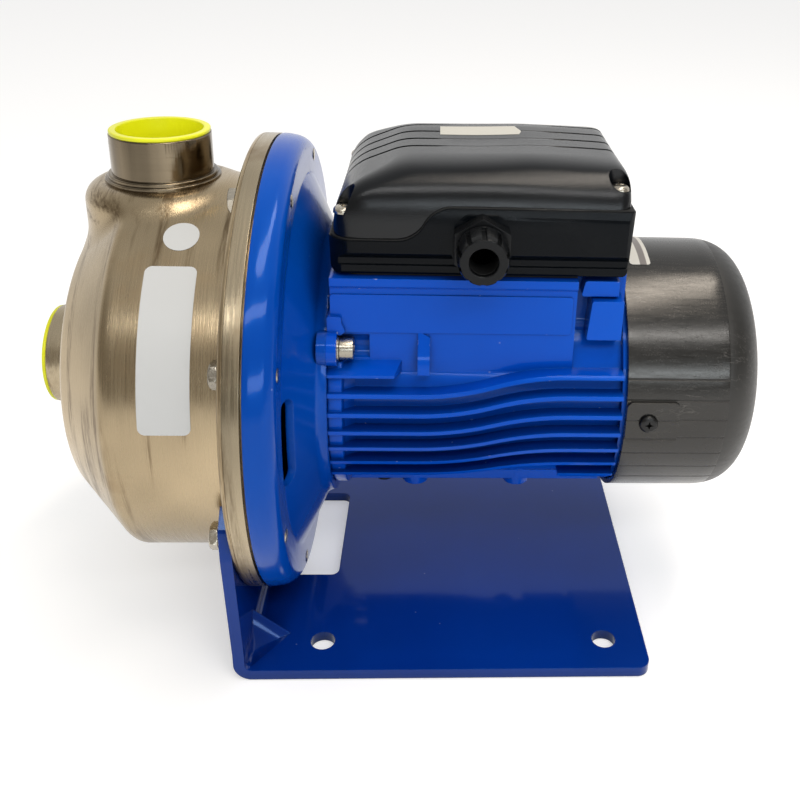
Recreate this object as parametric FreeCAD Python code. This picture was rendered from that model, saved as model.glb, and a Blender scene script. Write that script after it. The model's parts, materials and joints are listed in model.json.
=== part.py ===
import FreeCAD
import Part
import math
import os

# Close-coupled centrifugal pump: pressed stainless casing, cast motor adapter on a folded foot
# bracket, finned motor with fan cover, and a terminal box with a cable gland.
#
# Everything is built in the pump's own frame: X along the shaft towards the motor with 0 at the
# casing joint, Y away from the cable gland, Z up with 0 at the shaft axis.  The finished pieces
# are then moved so that the origin is the centre of the base bolt pattern on the underside.

V = FreeCAD.Vector

# Driving sizes, mm
FLOOR_GAP = 5.0
BASE_THICKNESS = 5.0
BASE_HALF_WIDTH = 88.0
BASE_END_X = 172.7
BASE_HOLE_R = 5.5
BASE_HOLE_X = 88.6
BASE_HOLE_PITCH_X = 130.0
BASE_HOLE_PITCH_Y = 140.0
WINDOW_X = (2.0, 26.2)
WINDOW_Y = (-24.7, 44.3)

DRUM_R = 87.2
FLANGE_WIDTH = 18.8
JOINT_R = DRUM_R + FLANGE_WIDTH
JOINT_BOLT_R = DRUM_R + 9.8
JOINT_BOLT_COUNT = 8
JOINT_BOLT_FIRST_DEG = 22.5
JOINT_SCREW_PROUD = 0.4
SHAFT_HEIGHT = JOINT_R + FLOOR_GAP + BASE_THICKNESS
GROOVE_INNER_R = DRUM_R + 1.8
GROOVE_OUTER_R = DRUM_R + 6.2
GROOVE_DEPTH = 2.4
LIP_FRONT_X = -8.5
SHEET = 2.0
DRUM_SHOULDER_X = -57.2
CONE_X = -81.9
CONE_R = 61.6
NOSE_X = -92.0
NOSE_R = 27.0
PORT_X = -48.4
BOSS_R = 33.5
BOSS_TOP_Z = DRUM_R + 0.8

SUCTION_R = 22.9
SUCTION_BORE_R = 20.8
SUCTION_FACE_X = -104.8
DISCHARGE_R = 21.6
DISCHARGE_BORE_R = 19.5
DISCHARGE_LENGTH = 22.3
DISCHARGE_FACE_Z = BOSS_TOP_Z + DISCHARGE_LENGTH
PLUG_FLANGE = 1.6
PLUG_WALL = 1.1
PLUG_DEPTH = 16.0

IMPELLER_R = 68.0
IMPELLER_BACK_X = -38.0
IMPELLER_HUB_X = -62.0
IMPELLER_EYE_R = 26.0
IMPELLER_WALL = 2.0
OUTLET_WIDTH = 10.0
VANE_COUNT = 6
VANE_THICKNESS = 2.0

SHAFT_PUMP_R = 6.0
SHAFT_SEAL_R = 7.0
SHAFT_JOURNAL_R = 7.5
SHAFT_ROTOR_R = 9.0
FAN_SEAT_X = 176.0
SHAFT_END_X = 199.0

ADAPTER_BACK_X = 12.8
ADAPTER_NECK_R = 63.0
ADAPTER_INNER_X = (9.5, 20.0)
ADAPTER_INNER_R = (DRUM_R + 0.8, 64.5)
ADAPTER_LUG = 4.0
SLOT_INNER_R = DRUM_R - 7.4
SLOT_OUTER_R = DRUM_R + 1.6
SLOT_SWEEP_DEG = 20.0
MOTOR_FACE_X = 27.5
MOTOR_SCREW_R = 61.2
MOTOR_SCREW_ANGLES = (30.0, 150.0, 270.0)
MOTOR_LUG_R = 7.5
MOTOR_WASHER = 0.8
MOTOR_WASHER_R = 5.5

FRAME_FRONT_X = MOTOR_FACE_X
FRAME_FLANGE_X = FRAME_FRONT_X + 5.9
FRAME_LUG_X = FRAME_FRONT_X + 4.3
HEAD_WELL_X = 45.0
FRAME_FLANGE_R = 59.2
FRAME_BACK_X = 154.0
FRAME_R = 54.0
FRAME_BORE_R = 51.0
FIN_R = 61.0
FIN_THICKNESS = 2.0
FIN_PITCH = 8.8
FIN_FIRST_Z = 11.3
FIN_COUNT = 6
FIN_RISE = 8.7
FIN_BEND = (66.0, 130.0)
SEAT_Z = 62.0
SEAT_HALF_WIDTH = 52.0
PAD_HALF_WIDTH = 20.0
PAD_BOTTOM_Z = -56.4
DRAIN_X = 49.0
DRAIN_Y = -15.0
RIB_X = (65.4, 70.6)
SHIELD_COLLAR_R = 52.3
SHIELD_COLLAR = 2.0
CORE_FRONT_X = 60.0
CORE_BACK_X = 120.0
ROTOR_R = 27.7
AIR_GAP = 0.3

BEARING_R = 17.5
BEARING_WIDTH = 11.0
FRONT_BEARING_X = 33.0
REAR_BEARING_X = 148.0
REAR_SHIELD_X = FRAME_BACK_X + 4.0

COVER_R = 60.0
COVER_FRONT_X = 155.8
COVER_SHOULDER_X = 193.5
COVER_END_X = 219.4
COVER_END_R = 28.0
COVER_WALL = 2.2
COVER_SCREW_X = 165.5

BOX_FRONT_X = 28.0
BOX_BACK_X = 154.0
BOX_HALF_WIDTH = 51.0
BOX_BOTTOM_Z = 63.0
BOX_TOP_Z = 110.2
BOX_WALL = 2.5
SPLIT_Z = 78.0
SPLIT_RISE = 14.0
SPLIT_BEND = (56.0, 79.0)
GLAND_X = 91.0
GLAND_Z = 78.0

# Clearances, mm
FIT = 0.02
SLIP = 0.05
RUNNING = 0.3
BOLT_GAP = 0.25
FAR = 400.0


def along_x(u, v):
    return V(0, u, v)


def along_y(u, v):
    return V(u, 0, v)


def along_z(u, v):
    return V(u, v, 0)


def unit(du, dv):
    length = math.hypot(du, dv)
    return du / length, dv / length


def corner_of(point):
    """(u, v) or (u, v, rounding radius) as three numbers."""
    return (point[0], point[1], point[2] if len(point) > 2 else 0.0)


def outline_face(points, plane):
    """Face inside a closed outline whose corners are rounded by arcs, drawn in the given plane."""
    corners = [corner_of(point) for point in points]
    stops = []
    for index, (u, v, radius) in enumerate(corners):
        before = corners[index - 1]
        after = corners[(index + 1) % len(corners)]
        back = unit(before[0] - u, before[1] - v)
        ahead = unit(after[0] - u, after[1] - v)
        if radius <= 0:
            stops.append(((u, v), None, (u, v)))
            continue
        half = math.acos(max(-1.0, min(1.0, back[0] * ahead[0] + back[1] * ahead[1]))) / 2
        reach = radius / math.tan(half)
        middle = unit(back[0] + ahead[0], back[1] + ahead[1])
        depth = radius / math.sin(half) - radius
        stops.append((
            (u + back[0] * reach, v + back[1] * reach),
            (u + middle[0] * depth, v + middle[1] * depth),
            (u + ahead[0] * reach, v + ahead[1] * reach),
        ))
    edges = []
    for index, (start, middle, end) in enumerate(stops):
        if middle is not None:
            edges.append(Part.Arc(plane(*start), plane(*middle), plane(*end)).toShape())
        following = stops[(index + 1) % len(stops)][0]
        if math.dist(end, following) > 1e-6:
            edges.append(Part.makeLine(plane(*end), plane(*following)))
    return Part.Face(Part.Wire(edges))


def inset(points, distance):
    """The same outline moved inwards by a distance, with its roundings kept concentric."""
    corners = [corner_of(point) for point in points]
    count = len(corners)
    area = sum(
        corners[i - 1][0] * corners[i][1] - corners[i][0] * corners[i - 1][1] for i in range(count)
    )
    side = 1.0 if area > 0 else -1.0
    result = []
    for index, (u, v, radius) in enumerate(corners):
        before = corners[index - 1]
        after = corners[(index + 1) % count]
        first = unit(u - before[0], v - before[1])
        second = unit(after[0] - u, after[1] - v)
        normal_a = (-first[1] * side, first[0] * side)
        normal_b = (-second[1] * side, second[0] * side)
        turn = (first[0] * second[1] - first[1] * second[0]) * side
        scale = distance / (1.0 + normal_a[0] * normal_b[0] + normal_a[1] * normal_b[1])
        moved = radius - distance if turn > 0 else radius + distance
        result.append((
            u + (normal_a[0] + normal_b[0]) * scale,
            v + (normal_a[1] + normal_b[1]) * scale,
            max(moved, 0.0) if radius > 0 else 0.0,
        ))
    return result


def lathe_x(points):
    """Solid of revolution about the shaft axis from an (x, radius) outline."""
    return outline_face(points, along_y).revolve(V(0, 0, 0), V(1, 0, 0), 360)


def lathe_z(points, x=0.0, y=0.0):
    """Solid of revolution about a vertical axis from a (radius, z) outline."""
    solid = outline_face(points, along_y).revolve(V(0, 0, 0), V(0, 0, 1), 360)
    solid.translate(V(x, y, 0))
    return solid


def prism_x(points, x0, x1):
    """(y, z) outline extruded along X."""
    face = outline_face(points, along_x)
    face.translate(V(x0, 0, 0))
    return face.extrude(V(x1 - x0, 0, 0))


def prism_y(points, y0, y1):
    """(x, z) outline extruded along Y."""
    face = outline_face(points, along_y)
    face.translate(V(0, y0, 0))
    return face.extrude(V(0, y1 - y0, 0))


def prism_z(points, z0, z1):
    """(x, y) outline extruded along Z."""
    face = outline_face(points, along_z)
    face.translate(V(0, 0, z0))
    return face.extrude(V(0, 0, z1 - z0))


def disc(x0, x1, radius, y=0.0, z=0.0):
    return Part.makeCylinder(radius, x1 - x0, V(x0, y, z), V(1, 0, 0))


def ring(x0, x1, inner, outer, y=0.0, z=0.0):
    return disc(x0, x1, outer, y, z).cut(disc(x0, x1, inner, y, z))


def block(x0, x1, y0, y1, z0, z1):
    return Part.makeBox(x1 - x0, y1 - y0, z1 - z0, V(x0, y0, z0))


def rectangle(u0, u1, v0, v1, radius=0.0):
    return [(u0, v0, radius), (u1, v0, radius), (u1, v1, radius), (u0, v1, radius)]


def fused(shapes):
    first = shapes[0]
    return first.fuse(list(shapes[1:])).removeSplitter() if len(shapes) > 1 else first


def group(shapes):
    return Part.makeCompound(shapes)


def around(shape, angles):
    """Copies of a shape turned about the shaft axis."""
    copies = []
    for angle in angles:
        copy = shape.copy()
        copy.rotate(V(0, 0, 0), V(1, 0, 0), angle)
        copies.append(copy)
    return copies


def evenly(count, first=0.0):
    return [first + index * 360.0 / count for index in range(count)]


def placed(shape, position, direction):
    """A shape built along +X from the origin, set at a position and turned to a direction."""
    copy = shape.copy()
    copy.Placement = FreeCAD.Placement(position, FreeCAD.Rotation(V(1, 0, 0), direction))
    return copy


def mirrored_y(shape):
    return shape.mirror(V(0, 0, 0), V(0, 1, 0))


def hexagon(across_flats, length):
    """Hexagonal prism along +X."""
    corner = across_flats / math.sqrt(3)
    turns = [math.radians(60 * index + 30) for index in range(6)]
    return prism_x([(corner * math.cos(a), corner * math.sin(a)) for a in turns], 0, length)


def chamfer_cone(radius, length, drop):
    """Turned envelope that takes the corners off one end of a head."""
    return lathe_x([(0, 0), (length, 0), (length, radius), (drop, radius), (0, radius - drop)])


def hex_screw(across_flats, head, shank_r, shank):
    """Hexagon-head screw along +X with its bearing face at the origin."""
    blank = hexagon(across_flats, head).common(
        chamfer_cone(across_flats / math.sqrt(3) + 0.1, head, head * 0.25)
    )
    blank.translate(V(-head, 0, 0))
    return blank.fuse(disc(0, shank, shank_r))


def socket_screw(head_r, head, shank_r, shank, key):
    """Cap screw with a hexagon socket, along +X with its bearing face at the origin."""
    cap = chamfer_cone(head_r, head, 0.5).cut(hexagon(key, head * 0.55))
    cap.translate(V(-head, 0, 0))
    return cap.fuse(disc(0, shank, shank_r))


def pan_screw(head_r, head, shank_r, shank):
    """Cross-recessed pan-head screw along +X with its bearing face at the origin."""
    cap = lathe_x([(-head, 0), (0, 0), (0, head_r), (-head, head_r, head * 0.7)])
    slot_width = head_r * 0.28
    slot = block(-head, -head * 0.45, -head_r * 0.55, head_r * 0.55, -slot_width / 2, slot_width / 2)
    cross = slot.fuse(placed(slot, V(0, 0, 0), V(1, 0, 0)))
    turned = slot.copy()
    turned.rotate(V(0, 0, 0), V(1, 0, 0), 90)
    return cap.cut(cross.fuse(turned)).fuse(disc(0, shank, shank_r))


# Near side is -Y; angles go from there up over the top.
def ring_point(radius, degrees):
    angle = math.radians(degrees)
    return -radius * math.cos(angle), radius * math.sin(angle)


JOINT_ANGLES = evenly(JOINT_BOLT_COUNT, JOINT_BOLT_FIRST_DEG)
MOTOR_SCREW_POINTS = [ring_point(MOTOR_SCREW_R, angle) for angle in MOTOR_SCREW_ANGLES]


def joint_holes(radius, x0=-20.0, x1=20.0):
    holes = []
    for angle in JOINT_ANGLES:
        y, z = ring_point(JOINT_BOLT_R, angle)
        holes.append(disc(x0, x1, radius, y, z))
    return holes


# Wet end
CAN_OUTLINE = [
    (LIP_FRONT_X, 0),
    (LIP_FRONT_X, DRUM_R),
    (DRUM_SHOULDER_X, DRUM_R, 6.0),
    (CONE_X, CONE_R, 8.0),
    (NOSE_X, NOSE_R, 4.0),
    (NOSE_X, 0),
]


def can_form(depth):
    """The pressed drum with its raised discharge seat, moved inwards by a depth."""
    outline = inset(CAN_OUTLINE, depth)
    ends = [(outline[0][0], 0), (outline[-1][0], 0)]
    drum = lathe_x([ends[0]] + outline[1:-1] + [ends[1]])
    seat = lathe_z(
        [(0, 40), (BOSS_R - depth, 40), (BOSS_R - depth, BOSS_TOP_Z - depth, 8.0 - depth),
         (0, BOSS_TOP_Z - depth)],
        PORT_X,
    )
    return drum.fuse(seat)


def pump_casing():
    """Deep-drawn shell with a flat clamping lip at the open end."""
    lip_back = LIP_FRONT_X + SHEET
    lip = lathe_x([
        (LIP_FRONT_X, DRUM_R - SHEET), (lip_back, DRUM_R - SHEET),
        (lip_back, JOINT_R), (LIP_FRONT_X, JOINT_R, 1.7),
    ])
    mouth = disc(LIP_FRONT_X - 2 * SHEET, lip_back, DRUM_R - SHEET)
    shell = can_form(0).fuse(lip).cut(can_form(SHEET)).cut(mouth)
    openings = [
        disc(NOSE_X - 5, NOSE_X + 10, SUCTION_R + SLIP),
        Part.makeCylinder(DISCHARGE_R + SLIP, 30, V(PORT_X, 0, BOSS_TOP_Z - 18)),
    ]
    return shell.cut(openings + joint_holes(3.0 + BOLT_GAP)).removeSplitter()


def casing_ring():
    """Flat clamping ring behind the casing lip, grooved for the O-ring."""
    front = LIP_FRONT_X + SHEET
    body = ring(front, 0, DRUM_R + 0.4, JOINT_R)
    groove = ring(-GROOVE_DEPTH, 0, GROOVE_INNER_R, GROOVE_OUTER_R)
    return body.cut([groove] + joint_holes(3.0 + BOLT_GAP))


def casing_o_ring():
    """Elastic ring pressed flat in its groove until the corners of its section are cut."""
    inner = GROOVE_INNER_R + RUNNING
    outer = GROOVE_OUTER_R - RUNNING
    cut = 0.7
    return lathe_x([
        (-GROOVE_DEPTH, inner + cut), (-GROOVE_DEPTH, outer - cut), (cut - GROOVE_DEPTH, outer),
        (-cut, outer), (0, outer - cut), (0, inner + cut), (-cut, inner), (cut - GROOVE_DEPTH, inner),
    ])


def suction_socket():
    """Turned inlet socket welded through the nose, with the wear-ring seat inside."""
    face = SUCTION_FACE_X + PLUG_FLANGE
    return lathe_x([
        (face, SUCTION_BORE_R), (face, SUCTION_R, 0.6), (NOSE_X - 1.6, SUCTION_R), (NOSE_X, 24.2),
        (NOSE_X, SUCTION_R), (-86.5, SUCTION_R), (-86.5, 35.0), (-84.5, 35.0),
        (-84.5, SUCTION_BORE_R),
    ])


def discharge_socket():
    """Turned outlet socket with the stepped weld ring at its foot."""
    face = DISCHARGE_FACE_Z - PLUG_FLANGE
    return lathe_z([
        (DISCHARGE_BORE_R, BOSS_TOP_Z - 4.0), (DISCHARGE_R, BOSS_TOP_Z - 4.0),
        (DISCHARGE_R, BOSS_TOP_Z),
        (24.6, BOSS_TOP_Z), (24.6, BOSS_TOP_Z + 1.8, 0.7), (23.3, BOSS_TOP_Z + 1.8),
        (23.3, BOSS_TOP_Z + 3.4, 0.7), (DISCHARGE_R, BOSS_TOP_Z + 3.4),
        (DISCHARGE_R, face, 0.6), (DISCHARGE_BORE_R, face),
    ], PORT_X)


def plug_outline(bore_r, port_r):
    """(radius, height) outline of a push-in plug whose flange underside is at height 0."""
    cup_r = bore_r - SLIP
    rim_r = port_r - 0.3
    return [
        (0, -PLUG_DEPTH), (cup_r - 1.5, -PLUG_DEPTH), (cup_r, -PLUG_DEPTH + 1.5), (cup_r, 0),
        (rim_r, 0, 0.4), (rim_r, PLUG_FLANGE, 0.5), (cup_r - PLUG_WALL, PLUG_FLANGE, 0.5),
        (cup_r - PLUG_WALL - 0.4, -PLUG_DEPTH + PLUG_WALL, 2.0), (0, -PLUG_DEPTH + PLUG_WALL),
    ]


def discharge_plug():
    plug = lathe_z(plug_outline(DISCHARGE_BORE_R, DISCHARGE_R))
    plug.translate(V(PORT_X, 0, DISCHARGE_FACE_Z - PLUG_FLANGE))
    return plug


def suction_plug():
    outline = plug_outline(SUCTION_BORE_R, SUCTION_R)
    rim = SUCTION_FACE_X + PLUG_FLANGE
    return lathe_x([(rim - point[1],) + (point[0],) + tuple(point[2:]) for point in outline])


def wear_ring():
    inner = IMPELLER_EYE_R + IMPELLER_WALL + RUNNING
    return lathe_x([
        (-84.5, inner, 0.8), (-84.5, 34.5), (-82.5, 34.5), (-82.5, 33.0, 0.5),
        (-74.0, 33.0, 0.8), (-74.0, inner, 0.5),
    ])


def vane_face():
    """Backward-curved crescent between the hub and the rim, seen along the shaft."""
    def spiral(radius, degrees, shift):
        angle = math.radians(degrees) + shift / radius
        return V(0, radius * math.cos(angle), radius * math.sin(angle))
    stations = ((22.0, 0.0), (43.0, 48.0), (IMPELLER_R, 80.0))
    inner = [spiral(radius, degrees, -VANE_THICKNESS / 2) for radius, degrees in stations]
    outer = [spiral(radius, degrees, VANE_THICKNESS) for radius, degrees in stations]
    return Part.Face(Part.Wire([
        Part.Arc(*inner).toShape(),
        Part.makeLine(inner[2], outer[2]),
        Part.Arc(*reversed(outer)).toShape(),
        Part.makeLine(outer[0], inner[0]),
    ]))


def impeller():
    """Closed impeller: hub, back shroud, curved vanes, conical front shroud and eye collar."""
    back = IMPELLER_BACK_X - IMPELLER_WALL
    outlet = back - OUTLET_WIDTH
    eye_x = IMPELLER_HUB_X
    passage = lathe_x([
        (back, 0), (back, IMPELLER_R), (outlet, IMPELLER_R), (eye_x, IMPELLER_EYE_R), (eye_x, 0),
    ])
    front_shroud = lathe_x([
        (outlet, IMPELLER_R), (eye_x, IMPELLER_EYE_R, 5.0), (eye_x - 16, IMPELLER_EYE_R, 0.0),
        (eye_x - 16, IMPELLER_EYE_R + IMPELLER_WALL), (eye_x - 2, IMPELLER_EYE_R + IMPELLER_WALL, 4.0),
        (outlet - IMPELLER_WALL, IMPELLER_R),
    ])
    hub = lathe_x([
        (IMPELLER_BACK_X, 0), (IMPELLER_BACK_X, IMPELLER_R), (back, IMPELLER_R),
        (back, 24.0, 6.0), (eye_x + 12, 11.0, 6.0), (eye_x, 11.0), (eye_x, 0),
    ])
    vane = vane_face().extrude(V(FAR, 0, 0))
    vane.translate(V(eye_x - 1, 0, 0))
    vanes = [blade.common(passage) for blade in around(vane, evenly(VANE_COUNT))]
    body = hub.fuse([front_shroud] + vanes).removeSplitter()
    keyway = block(eye_x - 1, IMPELLER_BACK_X + 1, -2.0 - FIT, 2.0 + FIT, 0, 7.8)
    return body.cut([disc(eye_x - 1, IMPELLER_BACK_X + 1, SHAFT_PUMP_R + FIT), keyway])


def impeller_key():
    return block(-58.0, -42.0, -2.0, 2.0, 3.5, 7.5)


def impeller_washer():
    return ring(IMPELLER_HUB_X - 2.0, IMPELLER_HUB_X, 5.1, 10.5)


def impeller_nut():
    nut = hexagon(16.0, 8.0).common(chamfer_cone(16.0 / math.sqrt(3) + 0.1, 8.0, 1.5))
    nut.translate(V(IMPELLER_HUB_X - 10.0, 0, 0))
    return nut.cut(disc(IMPELLER_HUB_X - 12.0, IMPELLER_HUB_X, 5.0 + FIT))


SEAL_FACE_X = -24.0
SEAL_BACK_X = -18.0


def seal_rotating_head():
    """Spring retainer and carbon ring, turned as one sealed unit."""
    return lathe_x([
        (-33.0, SHAFT_SEAL_R + FIT), (-33.0, 12.4, 0.6), (-27.0, 12.4, 0.6), (-27.0, 11.0),
        (SEAL_FACE_X, 11.0), (SEAL_FACE_X, SHAFT_SEAL_R + FIT),
    ])


def seal_spring():
    """Coil between the impeller and the rotating head."""
    wire_r = 0.7
    length = IMPELLER_BACK_X + 33.0
    helix = Part.makeHelix(2.0, -length - 2 * wire_r, 10.0)
    start = Part.Wire(Part.makeCircle(wire_r, V(10.0, 0, 0), V(0, 1, 0)))
    coil = Part.Wire(helix.Edges).makePipeShell([start], True, True)
    coil.translate(V(0, 0, wire_r))
    return placed_z_along_x(coil, IMPELLER_BACK_X)


def placed_z_along_x(shape, x):
    """A shape built along +Z turned to point along +X."""
    copy = shape.copy()
    copy.Placement = FreeCAD.Placement(
        V(x, 0, 0), FreeCAD.Rotation(V(0, 0, 1), V(1, 0, 0))
    ).multiply(copy.Placement)
    return copy


def seal_stationary_seat():
    return lathe_x([
        (SEAL_FACE_X, SHAFT_SEAL_R + RUNNING), (SEAL_FACE_X, 12.5, 0.4), (-22.5, 12.5),
        (-22.5, 15.9, 0.5), (SEAL_BACK_X, 15.9, 0.8), (SEAL_BACK_X, SHAFT_SEAL_R + RUNNING),
    ])


def seal_plate():
    """Dished stainless back plate with its clamped rim and the cup of the shaft seal."""
    spigot_r = DRUM_R - SHEET - 0.4
    floor = -20.0
    plate = lathe_x([
        (0, JOINT_R - 3.0), (0, spigot_r, 1.0), (floor, spigot_r, 5.0), (floor, 18.0),
        (SEAL_FACE_X, 18.0), (SEAL_FACE_X, 16.0), (SEAL_BACK_X, 16.0), (SEAL_BACK_X, 9.0),
        (-16.0, 9.0), (-16.0, 20.0, 1.0), (floor + SHEET, 20.0 + SHEET, 0.0),
        (floor + SHEET, spigot_r - SHEET, 3.0), (SHEET, spigot_r - SHEET, 3.0),
        (SHEET, JOINT_R - 3.0),
    ])
    return plate.cut(joint_holes(3.0 + BOLT_GAP))


def joint_screw(bearing_x):
    screw = hex_screw(10.0, 4.0, 3.0, ADAPTER_BACK_X + JOINT_SCREW_PROUD - bearing_x)
    screw.translate(V(bearing_x, 0, 0))
    return screw


def joint_screws(bearing_x, upper):
    screws = []
    for angle in JOINT_ANGLES:
        y, z = ring_point(JOINT_BOLT_R, angle)
        if (z > 0) == upper:
            screw = joint_screw(bearing_x)
            screw.translate(V(0, y, z))
            screws.append(screw)
    return group(screws)


def casing_screws():
    return joint_screws(LIP_FRONT_X, True)


def bracket_screws():
    return joint_screws(LIP_FRONT_X - BASE_THICKNESS, False)


# Adapter and foot
def adapter_slot(middle_deg):
    """Oblong opening through the cone, bent round the shaft axis."""
    x0, x1 = 5.0, 24.0
    sector = ring(x0, x1, SLOT_INNER_R, SLOT_OUTER_R)
    reach = SLOT_OUTER_R + 10
    half = math.radians(SLOT_SWEEP_DEG / 2)
    start = math.radians(middle_deg) - half
    end = math.radians(middle_deg) + half
    wedge = prism_x([
        (0, 0),
        (-reach * math.cos(start), reach * math.sin(start)),
        (-reach * math.cos(end), reach * math.sin(end)),
    ], x0, x1)
    middle_r = (SLOT_INNER_R + SLOT_OUTER_R) / 2
    width = (SLOT_OUTER_R - SLOT_INNER_R) / 2
    ends = [
        disc(x0, x1, width, -middle_r * math.cos(a), middle_r * math.sin(a)) for a in (start, end)
    ]
    return sector.common(wedge).fuse(ends)


def screw_lugs(x0, x1):
    """Lugs that carry the motor screws, joined back towards the axis by their webs."""
    lugs = []
    for y, z in MOTOR_SCREW_POINTS:
        lug = disc(x0, x1, MOTOR_LUG_R, y, z)
        side_y = -z / MOTOR_SCREW_R * MOTOR_LUG_R
        side_z = y / MOTOR_SCREW_R * MOTOR_LUG_R
        root = 0.8
        spread = 1.3
        web = prism_x([
            (y + side_y, z + side_z), (y - side_y, z - side_z),
            (y * root - side_y * spread, z * root - side_z * spread),
            (y * root + side_y * spread, z * root + side_z * spread),
        ], x0, x1)
        lugs.append(lug.fuse(web))
    return lugs


def motor_adapter():
    """Cast cone between the casing joint and the motor frame, with three slots to the outside."""
    under_crown, inner_face = ADAPTER_INNER_X
    foot_r, neck_r = ADAPTER_INNER_R
    cone_inner = [(inner_face, neck_r, 4.0), (under_crown, foot_r, 1.5)]
    body = lathe_x([
        (0.8, JOINT_R - 2.6), (0.8, JOINT_R, 0.6), (3.5, JOINT_R, 12.0), (9.5, JOINT_R - 1.2, 8.0),
        (ADAPTER_BACK_X, JOINT_R - 4.5, 5.0), (ADAPTER_BACK_X, DRUM_R + 0.8, 3.0),
        (24.0, ADAPTER_NECK_R, 5.0), (MOTOR_FACE_X, ADAPTER_NECK_R, 0.6), (MOTOR_FACE_X, 30.0),
        (inner_face, 30.0),
    ] + cone_inner + [(under_crown, DRUM_R + 3.8, 2.0), (SHEET, DRUM_R + 4.8), (SHEET, JOINT_R - 2.6)])
    hollow = lathe_x([(0, 0), (inner_face, 0)] + cone_inner + [(0, foot_r)])
    lugs = screw_lugs(MOTOR_FACE_X - ADAPTER_LUG, MOTOR_FACE_X)
    cast = body.fuse([lug.cut(hollow) for lug in lugs])
    screw_holes = [disc(0, 40, 3.0 + SLIP, y, z) for y, z in MOTOR_SCREW_POINTS]
    slots = [adapter_slot(angle) for angle in (2.0, 178.0, 270.0)]
    return cast.cut(joint_holes(3.0 + SLIP) + screw_holes + slots).removeSplitter()


def gusset(depth, y0, y1):
    """Dart pressed into the fold, tapering from its sheared end to nothing."""
    fold_x = LIP_FRONT_X
    fold_z = -SHAFT_HEIGHT + BASE_THICKNESS
    rise, run = 14.0, 17.0
    slope = math.hypot(rise, run)
    shift_x = depth * rise / slope
    shift_z = depth * run / slope
    if depth:
        fold_x -= depth
        fold_z -= depth
        rise += depth - shift_z - (shift_x - depth) * rise / run
        run = rise * 17.0 / 14.0

    def section(y, share):
        return Part.Wire(Part.makePolygon([
            V(fold_x, y, fold_z), V(fold_x + run * share, y, fold_z),
            V(fold_x, y, fold_z + rise * share), V(fold_x, y, fold_z),
        ]))
    return Part.makeLoft([section(y0, 1.0), section(y1, 0.12)], True, True)


def foot_bracket():
    """Sheet folded into an upright that clasps the casing flange and a base plate."""
    back = LIP_FRONT_X
    front = back - BASE_THICKNESS
    bottom = -SHAFT_HEIGHT
    floor = bottom + BASE_THICKNESS
    fold = prism_y([
        (back, 40), (front, 40), (front, bottom, 8.0), (BASE_END_X, bottom),
        (BASE_END_X, floor), (back, floor, 3.0),
    ], -FAR / 2, FAR / 2)
    screw_y, screw_z = ring_point(JOINT_BOLT_R, 180 + JOINT_BOLT_FIRST_DEG)
    shoulder_y = screw_y + 5.4
    half_upright = [
        (BASE_HALF_WIDTH, bottom - 1), (BASE_HALF_WIDTH, floor + 8), (shoulder_y, screw_z - 8.9, 14.0),
        (shoulder_y, screw_z + 5.1, 4.0), (screw_y - 5.6, screw_z + 17.1),
    ]
    other_half = [(-point[0],) + point[1:] for point in reversed(half_upright)]
    clasp_r = DRUM_R + 3.8
    upright = prism_x(half_upright + other_half, front - 1, back + 12).cut(
        disc(front - 2, back + 13, clasp_r))
    plan = prism_z([
        (back + 11, -BASE_HALF_WIDTH), (BASE_END_X, -BASE_HALF_WIDTH, 6.0),
        (BASE_END_X, BASE_HALF_WIDTH, 6.0), (back + 11, BASE_HALF_WIDTH),
    ], bottom - 1, floor + 1)
    sheet = fold.common(upright.fuse(plan))
    darts = [gusset(0, 65.0, 86.0), mirrored_y(gusset(0, 65.0, 86.0))]
    dents = [gusset(BASE_THICKNESS, 65.0, 86.0), mirrored_y(gusset(BASE_THICKNESS, 65.0, 86.0))]
    window = prism_z(rectangle(*WINDOW_X, *WINDOW_Y, 3.8), bottom - 1, floor + 1)
    holes = [
        Part.makeCylinder(BASE_HOLE_R, 20, V(BASE_HOLE_X + dx, dy, bottom - 5))
        for dx in (-BASE_HOLE_PITCH_X / 2, BASE_HOLE_PITCH_X / 2)
        for dy in (-BASE_HOLE_PITCH_Y / 2, BASE_HOLE_PITCH_Y / 2)
    ]
    return sheet.fuse(darts).cut(dents + [window] + holes + joint_holes(3.0 + BOLT_GAP)).removeSplitter()


def motor_screw_washers():
    end = FRAME_LUG_X + MOTOR_WASHER
    return group([
        ring(FRAME_LUG_X, end, 3.0 + BOLT_GAP, MOTOR_WASHER_R, y, z) for y, z in MOTOR_SCREW_POINTS
    ])


def motor_screws():
    screw = socket_screw(4.8, 6.0, 3.0, 12.0, 5.0)
    seat = FRAME_LUG_X + MOTOR_WASHER
    return group([placed(screw, V(seat, y, z), V(-1, 0, 0)) for y, z in MOTOR_SCREW_POINTS])


# Motor
def front_end_shield():
    """Front bearing carrier in the frame's bore, its collar held between frame and adapter."""
    front = MOTOR_FACE_X
    bore_r = FRAME_BORE_R - SLIP
    bearing_seat_r = BEARING_R + FIT
    bearing_end = FRONT_BEARING_X + BEARING_WIDTH + 0.5
    return lathe_x([
        (front, 9.5), (front, SHIELD_COLLAR_R), (front + SHIELD_COLLAR, SHIELD_COLLAR_R),
        (front + SHIELD_COLLAR, bore_r), (38.0, bore_r, 0.6), (38.0, 47.0), (32.0, 45.0, 2.0),
        (32.0, 21.5, 2.0), (bearing_end, 21.5, 0.8), (bearing_end, bearing_seat_r),
        (FRONT_BEARING_X, bearing_seat_r), (FRONT_BEARING_X, 9.5),
    ])


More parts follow.
